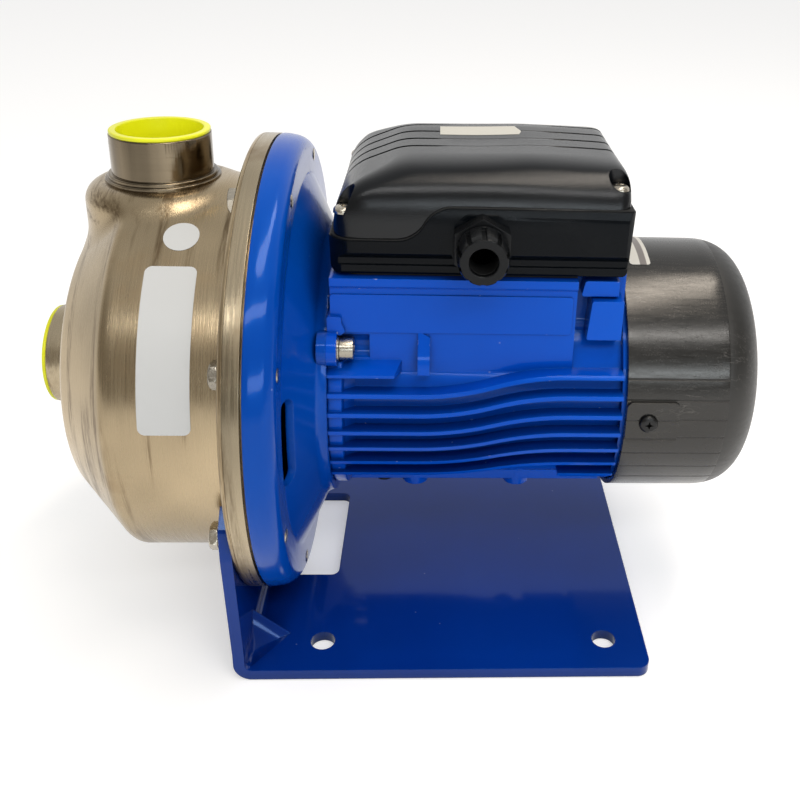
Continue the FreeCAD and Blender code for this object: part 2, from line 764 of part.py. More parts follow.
def s_edges(x0, x1, z, rise, bend):
    """Straight, two tangent arcs that lift the line by a rise, straight; drawn at Y = 0."""
    half_x = (bend[1] - bend[0]) / 2
    half_z = rise / 2
    radius = (half_x ** 2 + half_z ** 2) / (2 * half_z)
    angle = math.atan2(half_z, half_x)
    start, end = V(bend[0], 0, z), V(bend[1], 0, z + rise)
    middle = (start + end) / 2
    first = start + V(radius * math.sin(angle), 0, radius * (1 - math.cos(angle)))
    second = middle * 2 - first
    edges = []
    if x0 < bend[0]:
        edges.append(Part.makeLine(V(x0, 0, z), start))
    edges.append(Part.Arc(start, first, middle).toShape())
    edges.append(Part.Arc(middle, second, end).toShape())
    if x1 > bend[1]:
        edges.append(Part.makeLine(end, V(x1, 0, z + rise)))
    return edges


def s_band(x0, x1, z, rise, bend, height, half_width):
    """Solid between an S line and the same line lifted by a height, from -Y to +Y."""
    lower = s_edges(x0, x1, z, rise, bend)
    upper = s_edges(x0, x1, z + height, rise, bend)
    sides = [
        Part.makeLine(V(x0, 0, z), V(x0, 0, z + height)),
        Part.makeLine(V(x1, 0, z + rise), V(x1, 0, z + rise + height)),
    ]
    face = Part.Face(Part.Wire(Part.sortEdges(lower + upper + sides)[0]))
    face.translate(V(0, -half_width, 0))
    return face.extrude(V(0, 2 * half_width, 0))


def cooling_fins():
    """Side fins that sweep upwards in an S along the frame."""
    envelope = ring(FRAME_FRONT_X, FRAME_BACK_X, FRAME_R - 1.0, FIN_R)
    fins = []
    for index in range(FIN_COUNT):
        z = FIN_FIRST_Z - FIN_PITCH * index - FIN_THICKNESS / 2
        fins.append(s_band(FRAME_FRONT_X, FRAME_BACK_X, z, FIN_RISE, FIN_BEND, FIN_THICKNESS, FAR / 4))
    last = FIN_FIRST_Z - FIN_PITCH * FIN_COUNT + FIN_RISE - FIN_THICKNESS / 2
    fins.append(block(129.0, FRAME_BACK_X, -FAR / 4, FAR / 4, last, last + FIN_THICKNESS))
    return [fin.common(envelope) for fin in fins]


SHIELD_SCREW_R = 53.4
SHIELD_SCREW_ANGLES = (45.0, 135.0, 225.0, 315.0)


def shield_screw_points():
    return [ring_point(SHIELD_SCREW_R, angle) for angle in SHIELD_SCREW_ANGLES]


SEAT_WALL_Y = SEAT_HALF_WIDTH - 1.5


def both_sides(piece):
    return [piece, mirrored_y(piece)]


def terminal_seat():
    """Walls under the terminal box with their shelf, raised panels and end posts."""
    wall = SEAT_WALL_Y
    start = FRAME_FRONT_X + 1.3
    long_block = prism_x([
        (-wall, 0), (wall, 0), (wall, 57.0), (SEAT_HALF_WIDTH, 58.5), (SEAT_HALF_WIDTH, SEAT_Z),
        (-SEAT_HALF_WIDTH, SEAT_Z), (-SEAT_HALF_WIDTH, 58.5), (-wall, 57.0),
    ], start, 132.0)
    end_block = block(132.0, FRAME_BACK_X, -41.0, 41.0, 20.0, SEAT_Z)
    panel = prism_y(rectangle(start, 130.5, 37.0, 54.5, 1.5), -wall - 0.6, wall + 0.6)
    pieces = [long_block, end_block, panel]
    for x0, x1, y1, z0, z1 in ((134.0, 150.0, 48.5, 54.0, SEAT_Z - 1), (137.0, 152.0, 51.5, 35.0, 53.0)):
        pieces.append(prism_y([(x0, z0, 1.0), (x1, z0), (x1, z1), (x0 + 1.5, z1, 1.0)], -y1, y1))
    return pieces


def side_ribs():
    """Sloping shelf behind each upper screw and the upright rib that ties the wall to the fins."""
    wall = SEAT_WALL_Y
    front = FRAME_FRONT_X
    shelf = prism_x([
        (-wall + 2, 24.4), (-wall, 24.1), (-58.5, 20.6), (-58.5, 19.2), (-wall + 2, 18.2),
    ], front, 58.6).common(prism_z([
        (front, -wall + 5), (front, -60.0), (55.2, -60.0), (58.6, -wall), (58.6, -wall + 5),
    ], 0, 40))
    x0, x1 = RIB_X
    rib = prism_x([
        (-wall + 1, 38.0), (-wall - 0.7, 37.0), (-56.2, 27.0, 20.0), (-57.4, 20.0, 0.6),
        (-wall + 3, 18.6),
    ], x0, x1).common(prism_y([(x0, 15.0), (x1, 15.0), (x1, 35.4), (x0, 38.0)], -FAR / 4, 0))
    return both_sides(shelf) + both_sides(rib)


def frame_flange():
    """Front flange of the frame with its screw lugs and the ears above the upper two."""
    front = FRAME_FRONT_X
    back = FRAME_FLANGE_X
    root_r = FRAME_BORE_R - 1.0
    flange = lathe_x([
        (front, root_r), (front, FRAME_FLANGE_R, 0.5), (back, FRAME_FLANGE_R, 0.5),
        (back + 1.0, FRAME_R + 2.8), (back + 6.0, FRAME_R - 0.5), (back + 6.0, root_r),
    ])
    ears = prism_y([
        (front, 26.0), (back, 26.0), (back, 36.7), (back + 1.7, 38.2), (back + 0.2, 42.0),
        (back, 45.0, 1.0), (front, 45.0, 1.0),
    ], -SEAT_WALL_Y - 2.5, SEAT_WALL_Y + 2.5)
    return [flange, ears] + screw_lugs(front, FRAME_LUG_X)


def motor_frame():
    """Cast frame: barrel, flange, S-shaped side fins, seat for the terminal box and base pad."""
    barrel = disc(FRAME_FRONT_X, FRAME_BACK_X, FRAME_R)
    pieces = cooling_fins() + terminal_seat() + side_ribs() + frame_flange()
    pieces.append(block(
        FRAME_FRONT_X, FRAME_BACK_X, -PAD_HALF_WIDTH, PAD_HALF_WIDTH, PAD_BOTTOM_Z, PAD_BOTTOM_Z + 16))
    for x in (64.2, 113.9):
        for y in (6.0 - PAD_HALF_WIDTH, PAD_HALF_WIDTH - 6.0):
            pieces.append(Part.makeCylinder(6.3, 18.0, V(x, y, PAD_BOTTOM_Z - 3.4)))
    for y, z in shield_screw_points():
        pieces.append(disc(132.0, FRAME_BACK_X, 4.4, y, z))
    hollow = disc(FRAME_FRONT_X - 1, FRAME_BACK_X + 1, FRAME_BORE_R)
    collar_seat = disc(FRAME_FRONT_X - 1, FRAME_FRONT_X + SHIELD_COLLAR, SHIELD_COLLAR_R + SLIP)
    wire_way = prism_z(rectangle(62.0, 112.0, -20.0, 20.0, 6.0), 20.0, SEAT_Z + 1)
    fixing = [Part.makeCylinder(2.5 + SLIP, 14.0, V(x, y, SEAT_Z - 12)) for x, y in BOX_FIXING_POINTS]
    shield_holes = [disc(140.0, FRAME_BACK_X + 1, 2.0 + SLIP, y, z) for y, z in shield_screw_points()]
    drain = Part.makeCylinder(3.5 + SLIP, 16.0, V(DRAIN_X, DRAIN_Y, PAD_BOTTOM_Z - 1))
    well_r = MOTOR_WASHER_R + 0.5
    head_wells = [disc(FRAME_LUG_X, HEAD_WELL_X, well_r, y, z) for y, z in MOTOR_SCREW_POINTS]
    screw_holes = [disc(FRAME_FRONT_X - 1, HEAD_WELL_X, 3.0 + BOLT_GAP, y, z) for y, z in MOTOR_SCREW_POINTS]
    cuts = [hollow, collar_seat, wire_way, drain] + head_wells + screw_holes + fixing + shield_holes
    return barrel.fuse(pieces).cut(cuts).removeSplitter()


def drain_plug():
    """Slotted plug in the underside of the frame's pad."""
    head = lathe_x([(-1.8, 0), (0, 0), (0, 4.6), (-1.8, 4.6, 0.8)])
    slot = block(-1.8, -0.9, -3.4, 3.4, -0.6, 0.6)
    plug = head.cut(slot).fuse(disc(0, 5.0, 3.5))
    return placed(plug, V(DRAIN_X, DRAIN_Y, PAD_BOTTOM_Z), V(0, 0, 1))


SLOT_COUNT = 12
SLOT_CIRCLE_R = 36.5
SLOT_R = 4.0


def stator_core():
    core = ring(CORE_FRONT_X, CORE_BACK_X, ROTOR_R + AIR_GAP, FRAME_BORE_R - SLIP)
    slots = [
        disc(CORE_FRONT_X - 1, CORE_BACK_X + 1, SLOT_R, y, z)
        for y, z in (ring_point(SLOT_CIRCLE_R, a) for a in evenly(SLOT_COUNT))
    ]
    return core.cut(slots)


def stator_winding():
    """Two end-turn rings joined by the bundles that lie in the core slots."""
    def end_turn(x0, x1):
        return lathe_x([(x0, 31.0, 4.0), (x1, 31.0, 1.0), (x1, 47.0, 1.0), (x0, 47.0, 5.0)])
    bundles = [
        disc(CORE_FRONT_X - 1, CORE_BACK_X + 1, SLOT_R - RUNNING, y, z)
        for y, z in (ring_point(SLOT_CIRCLE_R, a) for a in evenly(SLOT_COUNT))
    ]
    return end_turn(47.0, CORE_FRONT_X).fuse([end_turn(136.0, CORE_BACK_X)] + bundles)


CAGE_BAR_COUNT = 14
CAGE_BAR_R = 2.0
CAGE_CIRCLE_R = 23.5


def rotor_core():
    core = ring(CORE_FRONT_X, CORE_BACK_X, SHAFT_ROTOR_R + FIT, ROTOR_R)
    bars = [
        disc(CORE_FRONT_X - 1, CORE_BACK_X + 1, CAGE_BAR_R, y, z)
        for y, z in (ring_point(CAGE_CIRCLE_R, a) for a in evenly(CAGE_BAR_COUNT))
    ]
    return core.cut(bars)


def rotor_cage():
    """Cast end rings joined by the bars through the rotor core."""
    rings = [
        ring(CORE_FRONT_X - 6, CORE_FRONT_X, 18.0, 26.5),
        ring(CORE_BACK_X, CORE_BACK_X + 6, 18.0, 26.5),
    ]
    bars = [
        disc(CORE_FRONT_X - 1, CORE_BACK_X + 1, CAGE_BAR_R - SLIP, y, z)
        for y, z in (ring_point(CAGE_CIRCLE_R, a) for a in evenly(CAGE_BAR_COUNT))
    ]
    return rings[0].fuse([rings[1]] + bars)


INNER_RACE_R = 10.2


def bearing_inner(x):
    end = x + BEARING_WIDTH
    return lathe_x([
        (x, SHAFT_JOURNAL_R + FIT, 0.4), (x, INNER_RACE_R), (end, INNER_RACE_R),
        (end, SHAFT_JOURNAL_R + FIT, 0.4),
    ])


def bearing_outer(x):
    """Outer ring with its two shields."""
    end = x + BEARING_WIDTH
    shield_r = INNER_RACE_R + SLIP
    return lathe_x([
        (x, BEARING_R, 0.6), (end, BEARING_R, 0.6), (end, 14.4), (end - 0.4, 14.4),
        (end - 0.4, shield_r), (end - 1.2, shield_r), (end - 1.2, 14.0), (x + 1.2, 14.0),
        (x + 1.2, shield_r), (x + 0.4, shield_r), (x + 0.4, 14.4), (x, 14.4),
    ])


def shaft():
    """Stepped shaft with the impeller keyseat, nut thread core and circlip groove."""
    core = lathe_x([
        (-74.0, 0), (-74.0, 5.0, 0.8), (IMPELLER_HUB_X, 5.0), (IMPELLER_HUB_X, SHAFT_PUMP_R, 0.4),
        (IMPELLER_BACK_X, SHAFT_PUMP_R), (IMPELLER_BACK_X, SHAFT_SEAL_R), (28.0, SHAFT_SEAL_R),
        (28.0, SHAFT_JOURNAL_R, 0.4), (44.0, SHAFT_JOURNAL_R), (44.0, SHAFT_ROTOR_R, 0.4),
        (REAR_BEARING_X, SHAFT_ROTOR_R, 0.4), (REAR_BEARING_X, SHAFT_JOURNAL_R),
        (FAN_SEAT_X, SHAFT_JOURNAL_R, 0.4), (FAN_SEAT_X, SHAFT_PUMP_R),
        (SHAFT_END_X, SHAFT_PUMP_R, 0.8), (SHAFT_END_X, 0),
    ])
    keyseat = block(-58.0, -42.0, -2.0, 2.0, 3.5, 7.5)
    groove = ring(FAN_HUB_BACK_X, FAN_HUB_BACK_X + CIRCLIP, 5.2, 8.0)
    return core.cut([keyseat, groove])


def shaft_slinger():
    """Rubber thrower that keeps leakage out of the front bearing."""
    return lathe_x([
        (19.5, SHAFT_SEAL_R + FIT), (19.5, 11.0, 1.0), (24.0, 11.0, 1.0), (26.0, 15.5),
        (27.1, 15.5, 0.4), (25.5, SHAFT_SEAL_R + FIT),
    ])


def bearing_preload_washer():
    start = REAR_BEARING_X + BEARING_WIDTH
    return ring(start, start + 1.0, 14.6, BEARING_R - 0.2)


def rear_end_shield():
    """Rear bearing carrier with the lugs that take the cover screws."""
    back = REAR_SHIELD_X
    start = REAR_BEARING_X - 0.5
    seat_end = REAR_BEARING_X + BEARING_WIDTH + 1.0
    bearing_seat_r = BEARING_R + FIT
    rim_r = COVER_R - COVER_WALL - 0.5
    body = lathe_x([
        (start + 1.5, 47.0), (start + 1.5, FRAME_BORE_R - SLIP, 0.6),
        (FRAME_BACK_X, FRAME_BORE_R - SLIP), (FRAME_BACK_X, rim_r), (back, rim_r, 0.8),
        (back, 21.5, 2.0), (seat_end + 2.5, 21.5, 0.8), (seat_end + 2.5, 9.5), (seat_end, 9.5),
        (seat_end, bearing_seat_r), (start, bearing_seat_r), (start, 21.5, 0.8),
        (FRAME_BACK_X, 21.5, 2.0), (FRAME_BACK_X, 46.0, 2.0),
    ])
    lug_x = (back - 1.0, back + 13.0)
    lug = prism_x(rectangle(-rim_r - 0.1, -50.0, -7.0, 7.0), *lug_x)
    lug = lug.common(disc(*lug_x, rim_r)).common(
        prism_y(rectangle(*lug_x, -7.0, 7.0, 2.0), -COVER_R, COVER_R))
    hole = placed(disc(-20, 14.0, 2.0 + SLIP), V(COVER_SCREW_X, -COVER_R, 0), V(0, 1, 0))
    shield_holes = [disc(140.0, 170.0, 2.0 + BOLT_GAP, y, z) for y, z in shield_screw_points()]
    return body.fuse(both_sides(lug)).cut(both_sides(hole) + shield_holes).removeSplitter()


def rear_shield_screws():
    screw = pan_screw(3.3, 2.4, 2.0, 16.0)
    return group([placed(screw, V(REAR_SHIELD_X, y, z), V(-1, 0, 0)) for y, z in shield_screw_points()])


FAN_BLADE_COUNT = 8
FAN_BLADE_R = 49.0
FAN_HUB_BACK_X = 194.0
CIRCLIP = 1.2


def cooling_fan():
    """Straight radial blades on a hub and back disc."""
    hub = ring(FAN_SEAT_X, FAN_HUB_BACK_X, SHAFT_PUMP_R + FIT, 11.0)
    back = lathe_x([
        (FAN_SEAT_X + 1, 10.0), (FAN_SEAT_X + 1, 30.0), (FAN_SEAT_X + 4, 46.0), (FAN_SEAT_X + 6, 46.0),
        (FAN_SEAT_X + 3, 30.0), (FAN_SEAT_X + 3, 10.0),
    ])
    blade = prism_y([
        (FAN_SEAT_X + 2, 10.0), (FAN_SEAT_X + 2, 30.0), (FAN_SEAT_X + 3, FAN_BLADE_R),
        (196.0, FAN_BLADE_R, 6.0), (198.0, 20.0, 3.0), (FAN_HUB_BACK_X - 1, 10.0),
    ], -0.9, 0.9)
    return hub.fuse([back] + around(blade, evenly(FAN_BLADE_COUNT))).removeSplitter()


def fan_circlip():
    clip = ring(FAN_HUB_BACK_X, FAN_HUB_BACK_X + CIRCLIP, 5.2 + SLIP, 8.6)
    return clip.cut(block(FAN_HUB_BACK_X - 1, FAN_HUB_BACK_X + 2, -1.5, 1.5, 0, 10))


def cover_form(depth):
    """Turned cover whose shoulder is a superellipse, moved inwards by a depth."""
    power = 2.6
    reach = COVER_END_X - depth - COVER_SHOULDER_X
    drop = COVER_R - depth - COVER_END_R
    def shoulder(share):
        angle = share * math.pi / 2
        return V(
            COVER_SHOULDER_X + reach * math.sin(angle) ** (2 / power), 0,
            COVER_END_R + drop * math.cos(angle) ** (2 / power),
        )
    curve = Part.BSplineCurve()
    curve.interpolate([shoulder((index / 8.0) ** 1.3) for index in range(9)])
    front = COVER_FRONT_X if depth == 0 else COVER_FRONT_X - 1
    first, last = shoulder(0), shoulder(1)
    edges = [
        Part.makeLine(V(front, 0, 0), V(front, 0, first.z)),
        Part.makeLine(V(front, 0, first.z), first),
        curve.toShape(),
        Part.makeLine(last, V(last.x, 0, 0)),
        Part.makeLine(V(last.x, 0, 0), V(front, 0, 0)),
    ]
    return Part.Face(Part.Wire(edges)).revolve(V(0, 0, 0), V(1, 0, 0), 360)


def fan_cover():
    """Cover with side screw tabs and a slotted air inlet in its end."""
    tab = prism_y(rectangle(COVER_FRONT_X, 179.0, -10.0, 10.0, 3.0), -COVER_R - 0.9, -COVER_R + 3.0)
    shell = cover_form(0).fuse([tab, mirrored_y(tab)]).cut(cover_form(COVER_WALL))
    spokes = [block(200.0, 230.0, -1.6, 1.6, 0, 40.0)]
    grid = fused(around(spokes[0], evenly(6, 30.0)))
    slots = [
        ring(COVER_END_X - 6, COVER_END_X + 1, inner, inner + 4.2).cut(grid)
        for inner in (6.0, 13.0, 20.0)
    ]
    hole = placed(disc(-20, 14.0, 2.0 + BOLT_GAP), V(COVER_SCREW_X, -COVER_R, 0), V(0, 1, 0))
    return shell.cut(slots + [hole, mirrored_y(hole)])


def fan_cover_screws():
    screw = placed(
        pan_screw(4.2, 2.4, 2.0, 10.0), V(COVER_SCREW_X, -COVER_R - 0.9, 0), V(0, 1, 0))
    return group([screw, mirrored_y(screw)])


# Terminal box
BOX_FIXING_POINTS = [(46.0, -34.0), (46.0, 34.0), (136.0, -34.0), (136.0, 34.0)]
LID_SCREWS = [(34.5, -43.5, 88.0), (34.5, 43.5, 88.0), (147.5, -41.0, 98.5), (147.5, 41.0, 98.5)]


def box_form(depth):
    """Terminal box envelope: side view, end view and plan crossed, moved inwards by a depth."""
    side = [
        (BOX_FRONT_X + 1.0, BOX_BOTTOM_Z, 3.0), (BOX_BACK_X - 2.0, BOX_BOTTOM_Z, 3.0),
        (BOX_BACK_X, 96.0, 6.0), (BOX_BACK_X - 0.5, BOX_TOP_Z - 3.0, 8.0), (112.0, BOX_TOP_Z, 60.0),
        (58.0, BOX_TOP_Z - 2.6, 34.0), (BOX_FRONT_X - 0.5, 95.5, 24.0),
    ]
    half = BOX_HALF_WIDTH
    end = [
        (-half + 1.5, BOX_BOTTOM_Z, 1.5), (half - 1.5, BOX_BOTTOM_Z, 1.5), (half - 1.5, 67.0),
        (half - 2.5, 67.5), (half - 2.5, 70.0), (half, 73.0, 2.0), (half + 0.8, BOX_TOP_Z + 0.5, 27.0),
        (-half - 0.8, BOX_TOP_Z + 0.5, 27.0), (-half, 73.0, 2.0), (-half + 2.5, 70.0),
        (-half + 2.5, 67.5), (-half + 1.5, 67.0),
    ]
    plan = [
        (BOX_FRONT_X - 1.0, -half - 1.0, 15.0), (BOX_BACK_X + 1.0, -half - 1.0, 8.0),
        (BOX_BACK_X + 1.0, half + 1.0, 8.0), (BOX_FRONT_X - 1.0, half + 1.0, 15.0),
    ]
    if depth:
        end = [
            (-half + 2.5, BOX_BOTTOM_Z), (half - 2.5, BOX_BOTTOM_Z), (half - 2.5, 70.0),
            (half, 73.0, 2.0), (half + 0.8, BOX_TOP_Z + 0.5, 27.0),
            (-half - 0.8, BOX_TOP_Z + 0.5, 27.0), (-half, 73.0, 2.0), (-half + 2.5, 70.0),
        ]
        side, end, plan = (inset(points, depth) for points in (side, end, plan))
    return prism_y(side, -FAR / 4, FAR / 4).common(prism_x(end, 0, FAR)).common(
        prism_z(plan, 0, FAR))


def above_split(lift=0.0):
    """Everything above the S-shaped parting line of the box."""
    return s_band(0, FAR / 2, SPLIT_Z + lift, SPLIT_RISE, SPLIT_BEND, 100.0, FAR / 4)


SPLIT_GAP = 0.6


def lid_post(x, y, radius, z0, z1):
    return Part.makeCylinder(radius, z1 - z0, V(x, y, z0))


def terminal_box_base():
    """Lower half: floor, walls up to the parting line, screw posts and capacitor saddles."""
    outer = box_form(0).cut(above_split())
    inner = box_form(BOX_WALL)
    posts = [
        lid_post(x, y, 4.6, BOX_BOTTOM_Z, 100.0).common(outer) for x, y, _ in LID_SCREWS
    ]
    saddles = [
        block(x, x + 3.0, CAPACITOR_Y - 12.0, CAPACITOR_Y + 12.0, BOX_BOTTOM_Z + 1, CAPACITOR_Z - 6.0)
        .cut(disc(x - 1, x + 4.0, CAPACITOR_R + SLIP, CAPACITOR_Y, CAPACITOR_Z))
        for x in (CAPACITOR_X + 2.0, CAPACITOR_X + 34.0)
    ]
    pad = placed(disc(0, 5.0, 13.5), V(GLAND_X, -BOX_HALF_WIDTH, GLAND_Z), V(0, 1, 0)).common(
        block(0, FAR, -BOX_HALF_WIDTH - BOX_WALL, 0, BOX_BOTTOM_Z + 1.5, SPLIT_Z + 12.0))
    shell = outer.cut(inner).fuse(posts + saddles + [pad])
    cuts = [Part.makeCylinder(2.0 + SLIP, 60.0, V(x, y, BOX_BOTTOM_Z + 3)) for x, y, _ in LID_SCREWS]
    cuts += [Part.makeCylinder(2.5 + BOLT_GAP, 20.0, V(x, y, 55.0)) for x, y in BOX_FIXING_POINTS]
    cuts.append(placed(disc(-20, 20, GLAND_SHANK_R + BOLT_GAP), V(GLAND_X, -BOX_HALF_WIDTH, GLAND_Z), V(0, 1, 0)))
    cuts.append(placed(disc(0, 20, 12.2), V(GLAND_X, -BOX_HALF_WIDTH + BOX_WALL, GLAND_Z), V(0, 1, 0)))
    cuts.append(prism_z(rectangle(66.0, 84.0, -16.0, 0.0, 4.0), 55.0, BOX_BOTTOM_Z + BOX_WALL + 1))
    return shell.cut(cuts).removeSplitter()


def terminal_box_lid_gasket():
    """Thin seal that follows the stepped parting line just inside the wall."""
    band = s_band(0, FAR / 2, SPLIT_Z, SPLIT_RISE, SPLIT_BEND, SPLIT_GAP, FAR / 4)
    rim = box_form(0.6)
    pads = [lid_post(x, y, 4.6, 60.0, 110.0).common(rim) for x, y, _ in LID_SCREWS]
    holes = [lid_post(x, y, 2.0 + BOLT_GAP, 60.0, 110.0) for x, y, _ in LID_SCREWS]
    return band.common(rim.cut(box_form(BOX_WALL)).fuse(pads)).cut(holes).removeSplitter()


def terminal_box_lid():
    """Domed lid with four grooves along its top and a notch over each screw."""
    upper = above_split(SPLIT_GAP)
    outer = box_form(0).common(upper)
    posts = [lid_post(x, y, 5.6, SPLIT_Z, z + 1).common(outer) for x, y, z in LID_SCREWS]
    shell = outer.cut(box_form(BOX_WALL)).fuse(posts)
    notch_floors = [lid_post(x, y, 7.0, z - 2.5, z).common(outer) for x, y, z in LID_SCREWS]
    shell = shell.fuse(notch_floors + [
        lid_post(x, y, 6.6, z - 2.5, BOX_TOP_Z + 5).common(outer) for x, y, z in LID_SCREWS])
    cuts = [lid_post(x, y, 4.8, z, BOX_TOP_Z + 10) for x, y, z in LID_SCREWS]
    cuts += [lid_post(x, y, 2.0 + BOLT_GAP, SPLIT_Z - 5, BOX_TOP_Z) for x, y, z in LID_SCREWS]
    skin = box_form(0).cut(box_form(1.0))
    half = 1.1
    cuts += [
        skin.common(block(BOX_FRONT_X - 5, BOX_BACK_X - 1.5, y - half, y + half, 88.0, BOX_TOP_Z + 5))
        for y in (-10.0, 3.0, 16.0, 29.0)
    ]
    return shell.cut(cuts).removeSplitter()


def terminal_box_lid_screws():
    screws = []
    for x, y, z in LID_SCREWS:
        screws.append(placed(pan_screw(4.2, 2.8, 2.0, z - 70.0), V(x, y, z), V(0, 0, -1)))
    return group(screws)


def terminal_box_seat_gasket():
    sheet = prism_z(rectangle(BOX_FRONT_X + 5, 149.0, -47.5, 47.5, 8.0), SEAT_Z, BOX_BOTTOM_Z)
    window = prism_z(rectangle(62.0, 112.0, -20.0, 20.0, 6.0), SEAT_Z - 1, BOX_BOTTOM_Z + 1)
    rear = block(132.0, 160.0, -60.0, -41.0, 60.0, 66.0)
    holes = [Part.makeCylinder(2.5 + BOLT_GAP, 20.0, V(x, y, 55.0)) for x, y in BOX_FIXING_POINTS]
    return sheet.cut([window, rear, mirrored_y(rear)] + holes)


def terminal_box_fixing_screws():
    screw = pan_screw(4.6, 3.0, 2.5, 11.0)
    seat = BOX_BOTTOM_Z + BOX_WALL
    return group([placed(screw, V(x, y, seat), V(0, 0, -1)) for x, y in BOX_FIXING_POINTS])


def terminal_block():
    """Moulded block with a row of six threaded posts and barriers between them."""
    floor = BOX_BOTTOM_Z + BOX_WALL
    body = prism_z(rectangle(44.0, 84.0, 6.0, 28.0, 2.0), floor, floor + 8.0)
    pieces = [body]
    for index in range(7):
        x = 44.0 + index * 6.35
        pieces.append(block(x, x + 1.9, 6.0, 28.0, floor + 7, floor + 13.0))
    for index in range(6):
        pieces.append(Part.makeCylinder(1.5, 6.0, V(48.1 + index * 6.35, 17.0, floor + 7)))
    return fused(pieces)


CAPACITOR_X = 90.0
CAPACITOR_LENGTH = 54.0
CAPACITOR_R = 15.0
CAPACITOR_Y = 24.0
CAPACITOR_Z = 83.5


def capacitor():
    """Cylindrical run capacitor lying along the box, terminals towards the block."""
    start, end = CAPACITOR_X, CAPACITOR_X + CAPACITOR_LENGTH
    can = lathe_x([(start, 0), (start, CAPACITOR_R, 1.5), (end, CAPACITOR_R, 3.0), (end, 0)])
    tabs = [block(start - 6.0, start + 0.5, y - 0.4, y + 0.4, -3.0, 3.0) for y in (-5.0, 5.0)]
    body = can.fuse(tabs)
    body.translate(V(0, CAPACITOR_Y, CAPACITOR_Z))
    return body


GLAND_SHANK_R = 8.0
GLAND_BORE_R = 5.8
GLAND_FACE_Y = -BOX_HALF_WIDTH - 0.4


def gland_placed(shape, y):
    return placed(shape, V(GLAND_X, y, GLAND_Z), V(0, -1, 0))


def cable_gland_body():
    """Hexagon body, threaded shank through the box wall and the neck under the dome nut."""
    across = 22.6
    hexagon_part = hexagon(across, 7.5).common(chamfer_cone(across / math.sqrt(3) + 0.1, 7.5, 0.8))
    neck = disc(7.0, 15.0, 8.4)
    shank = disc(-9.0, 1.0, GLAND_SHANK_R)
    bore = disc(-10.0, 16.0, GLAND_BORE_R + 0.8)
    return gland_placed(hexagon_part.fuse([neck, shank]).cut(bore), GLAND_FACE_Y)


def cable_gland_locknut():
    nut = hexagon(20.0, 4.0).cut(disc(-1, 5, GLAND_SHANK_R + SLIP))
    return gland_placed(nut, -BOX_HALF_WIDTH + BOX_WALL + 4.3)


def cable_gland_seal():
    ring_shape = lathe_x([(8.0, GLAND_BORE_R, 0.3), (8.0, 6.5), (18.6, 6.5, 0.3), (18.6, GLAND_BORE_R, 0.3)])
    return gland_placed(ring_shape, GLAND_FACE_Y)


def cable_gland_nut():
    """Dome nut with grip flutes, screwed over the neck."""
    dome = lathe_x([
        (8.0, 8.45), (8.0, 10.6, 0.8), (16.0, 10.6, 2.0), (19.0, 10.4, 1.5), (21.6, 9.6, 1.0),
        (21.6, GLAND_BORE_R, 0.6), (19.0, GLAND_BORE_R), (19.0, 8.45),
    ])
    flute = block(9.5, 23.0, -1.0, 1.0, 9.2, 14.0)
    return gland_placed(dome.cut(around(flute, evenly(10))), GLAND_FACE_Y)


NODES = {
    "pump_casing": pump_casing,
    "casing_ring": casing_ring,
    "casing_o_ring": casing_o_ring,
    "suction_socket": suction_socket,
    "discharge_socket": discharge_socket,
    "suction_plug": suction_plug,
    "discharge_plug": discharge_plug,
    "wear_ring": wear_ring,
    "impeller": impeller,
    "impeller_key": impeller_key,
    "impeller_washer": impeller_washer,
    "impeller_nut": impeller_nut,
    "seal_rotating_head": seal_rotating_head,
    "seal_spring": seal_spring,
    "seal_stationary_seat": seal_stationary_seat,
    "seal_plate": seal_plate,
    "casing_screws": casing_screws,
    "bracket_screws": bracket_screws,
    "motor_adapter": motor_adapter,
    "foot_bracket": foot_bracket,
    "motor_screws": motor_screws,
    "motor_screw_washers": motor_screw_washers,
    "front_end_shield": front_end_shield,
    "motor_frame": motor_frame,
    "drain_plug": drain_plug,
    "stator_core": stator_core,
    "stator_winding": stator_winding,
    "rotor_core": rotor_core,
    "rotor_cage": rotor_cage,
    "shaft": shaft,
    "shaft_slinger": shaft_slinger,
    "front_bearing_inner_ring": lambda: bearing_inner(FRONT_BEARING_X),
    "front_bearing_outer_ring": lambda: bearing_outer(FRONT_BEARING_X),
    "rear_bearing_inner_ring": lambda: bearing_inner(REAR_BEARING_X),
    "rear_bearing_outer_ring": lambda: bearing_outer(REAR_BEARING_X),
    "bearing_preload_washer": bearing_preload_washer,
    "rear_end_shield": rear_end_shield,
    "rear_shield_screws": rear_shield_screws,
    "cooling_fan": cooling_fan,
    "fan_circlip": fan_circlip,
    "fan_cover": fan_cover,
    "fan_cover_screws": fan_cover_screws,
    "terminal_box_seat_gasket": terminal_box_seat_gasket,
    "terminal_box_base": terminal_box_base,
    "terminal_box_fixing_screws": terminal_box_fixing_screws,
    "terminal_box_lid_gasket": terminal_box_lid_gasket,
    "terminal_box_lid": terminal_box_lid,
    "terminal_box_lid_screws": terminal_box_lid_screws,
    "terminal_block": terminal_block,
    "capacitor": capacitor,
    "cable_gland_body": cable_gland_body,
    "cable_gland_locknut": cable_gland_locknut,
    "cable_gland_seal": cable_gland_seal,
    "cable_gland_nut": cable_gland_nut,
}


def export_all():
    """Build every piece, move it to the origin of the base bolt pattern and write it."""
    os.makedirs("parts", exist_ok=True)
    for name, build in NODES.items():
        shape = build()
        shape.translate(V(-BASE_HOLE_X, 0, SHAFT_HEIGHT))
        print(f"{name}: {len(shape.Solids)} solid(s), {shape.Volume / 1000:.1f} cm3, valid {shape.isValid()}")
        shape.exportStep(f"parts/{name}.step")


export_all()
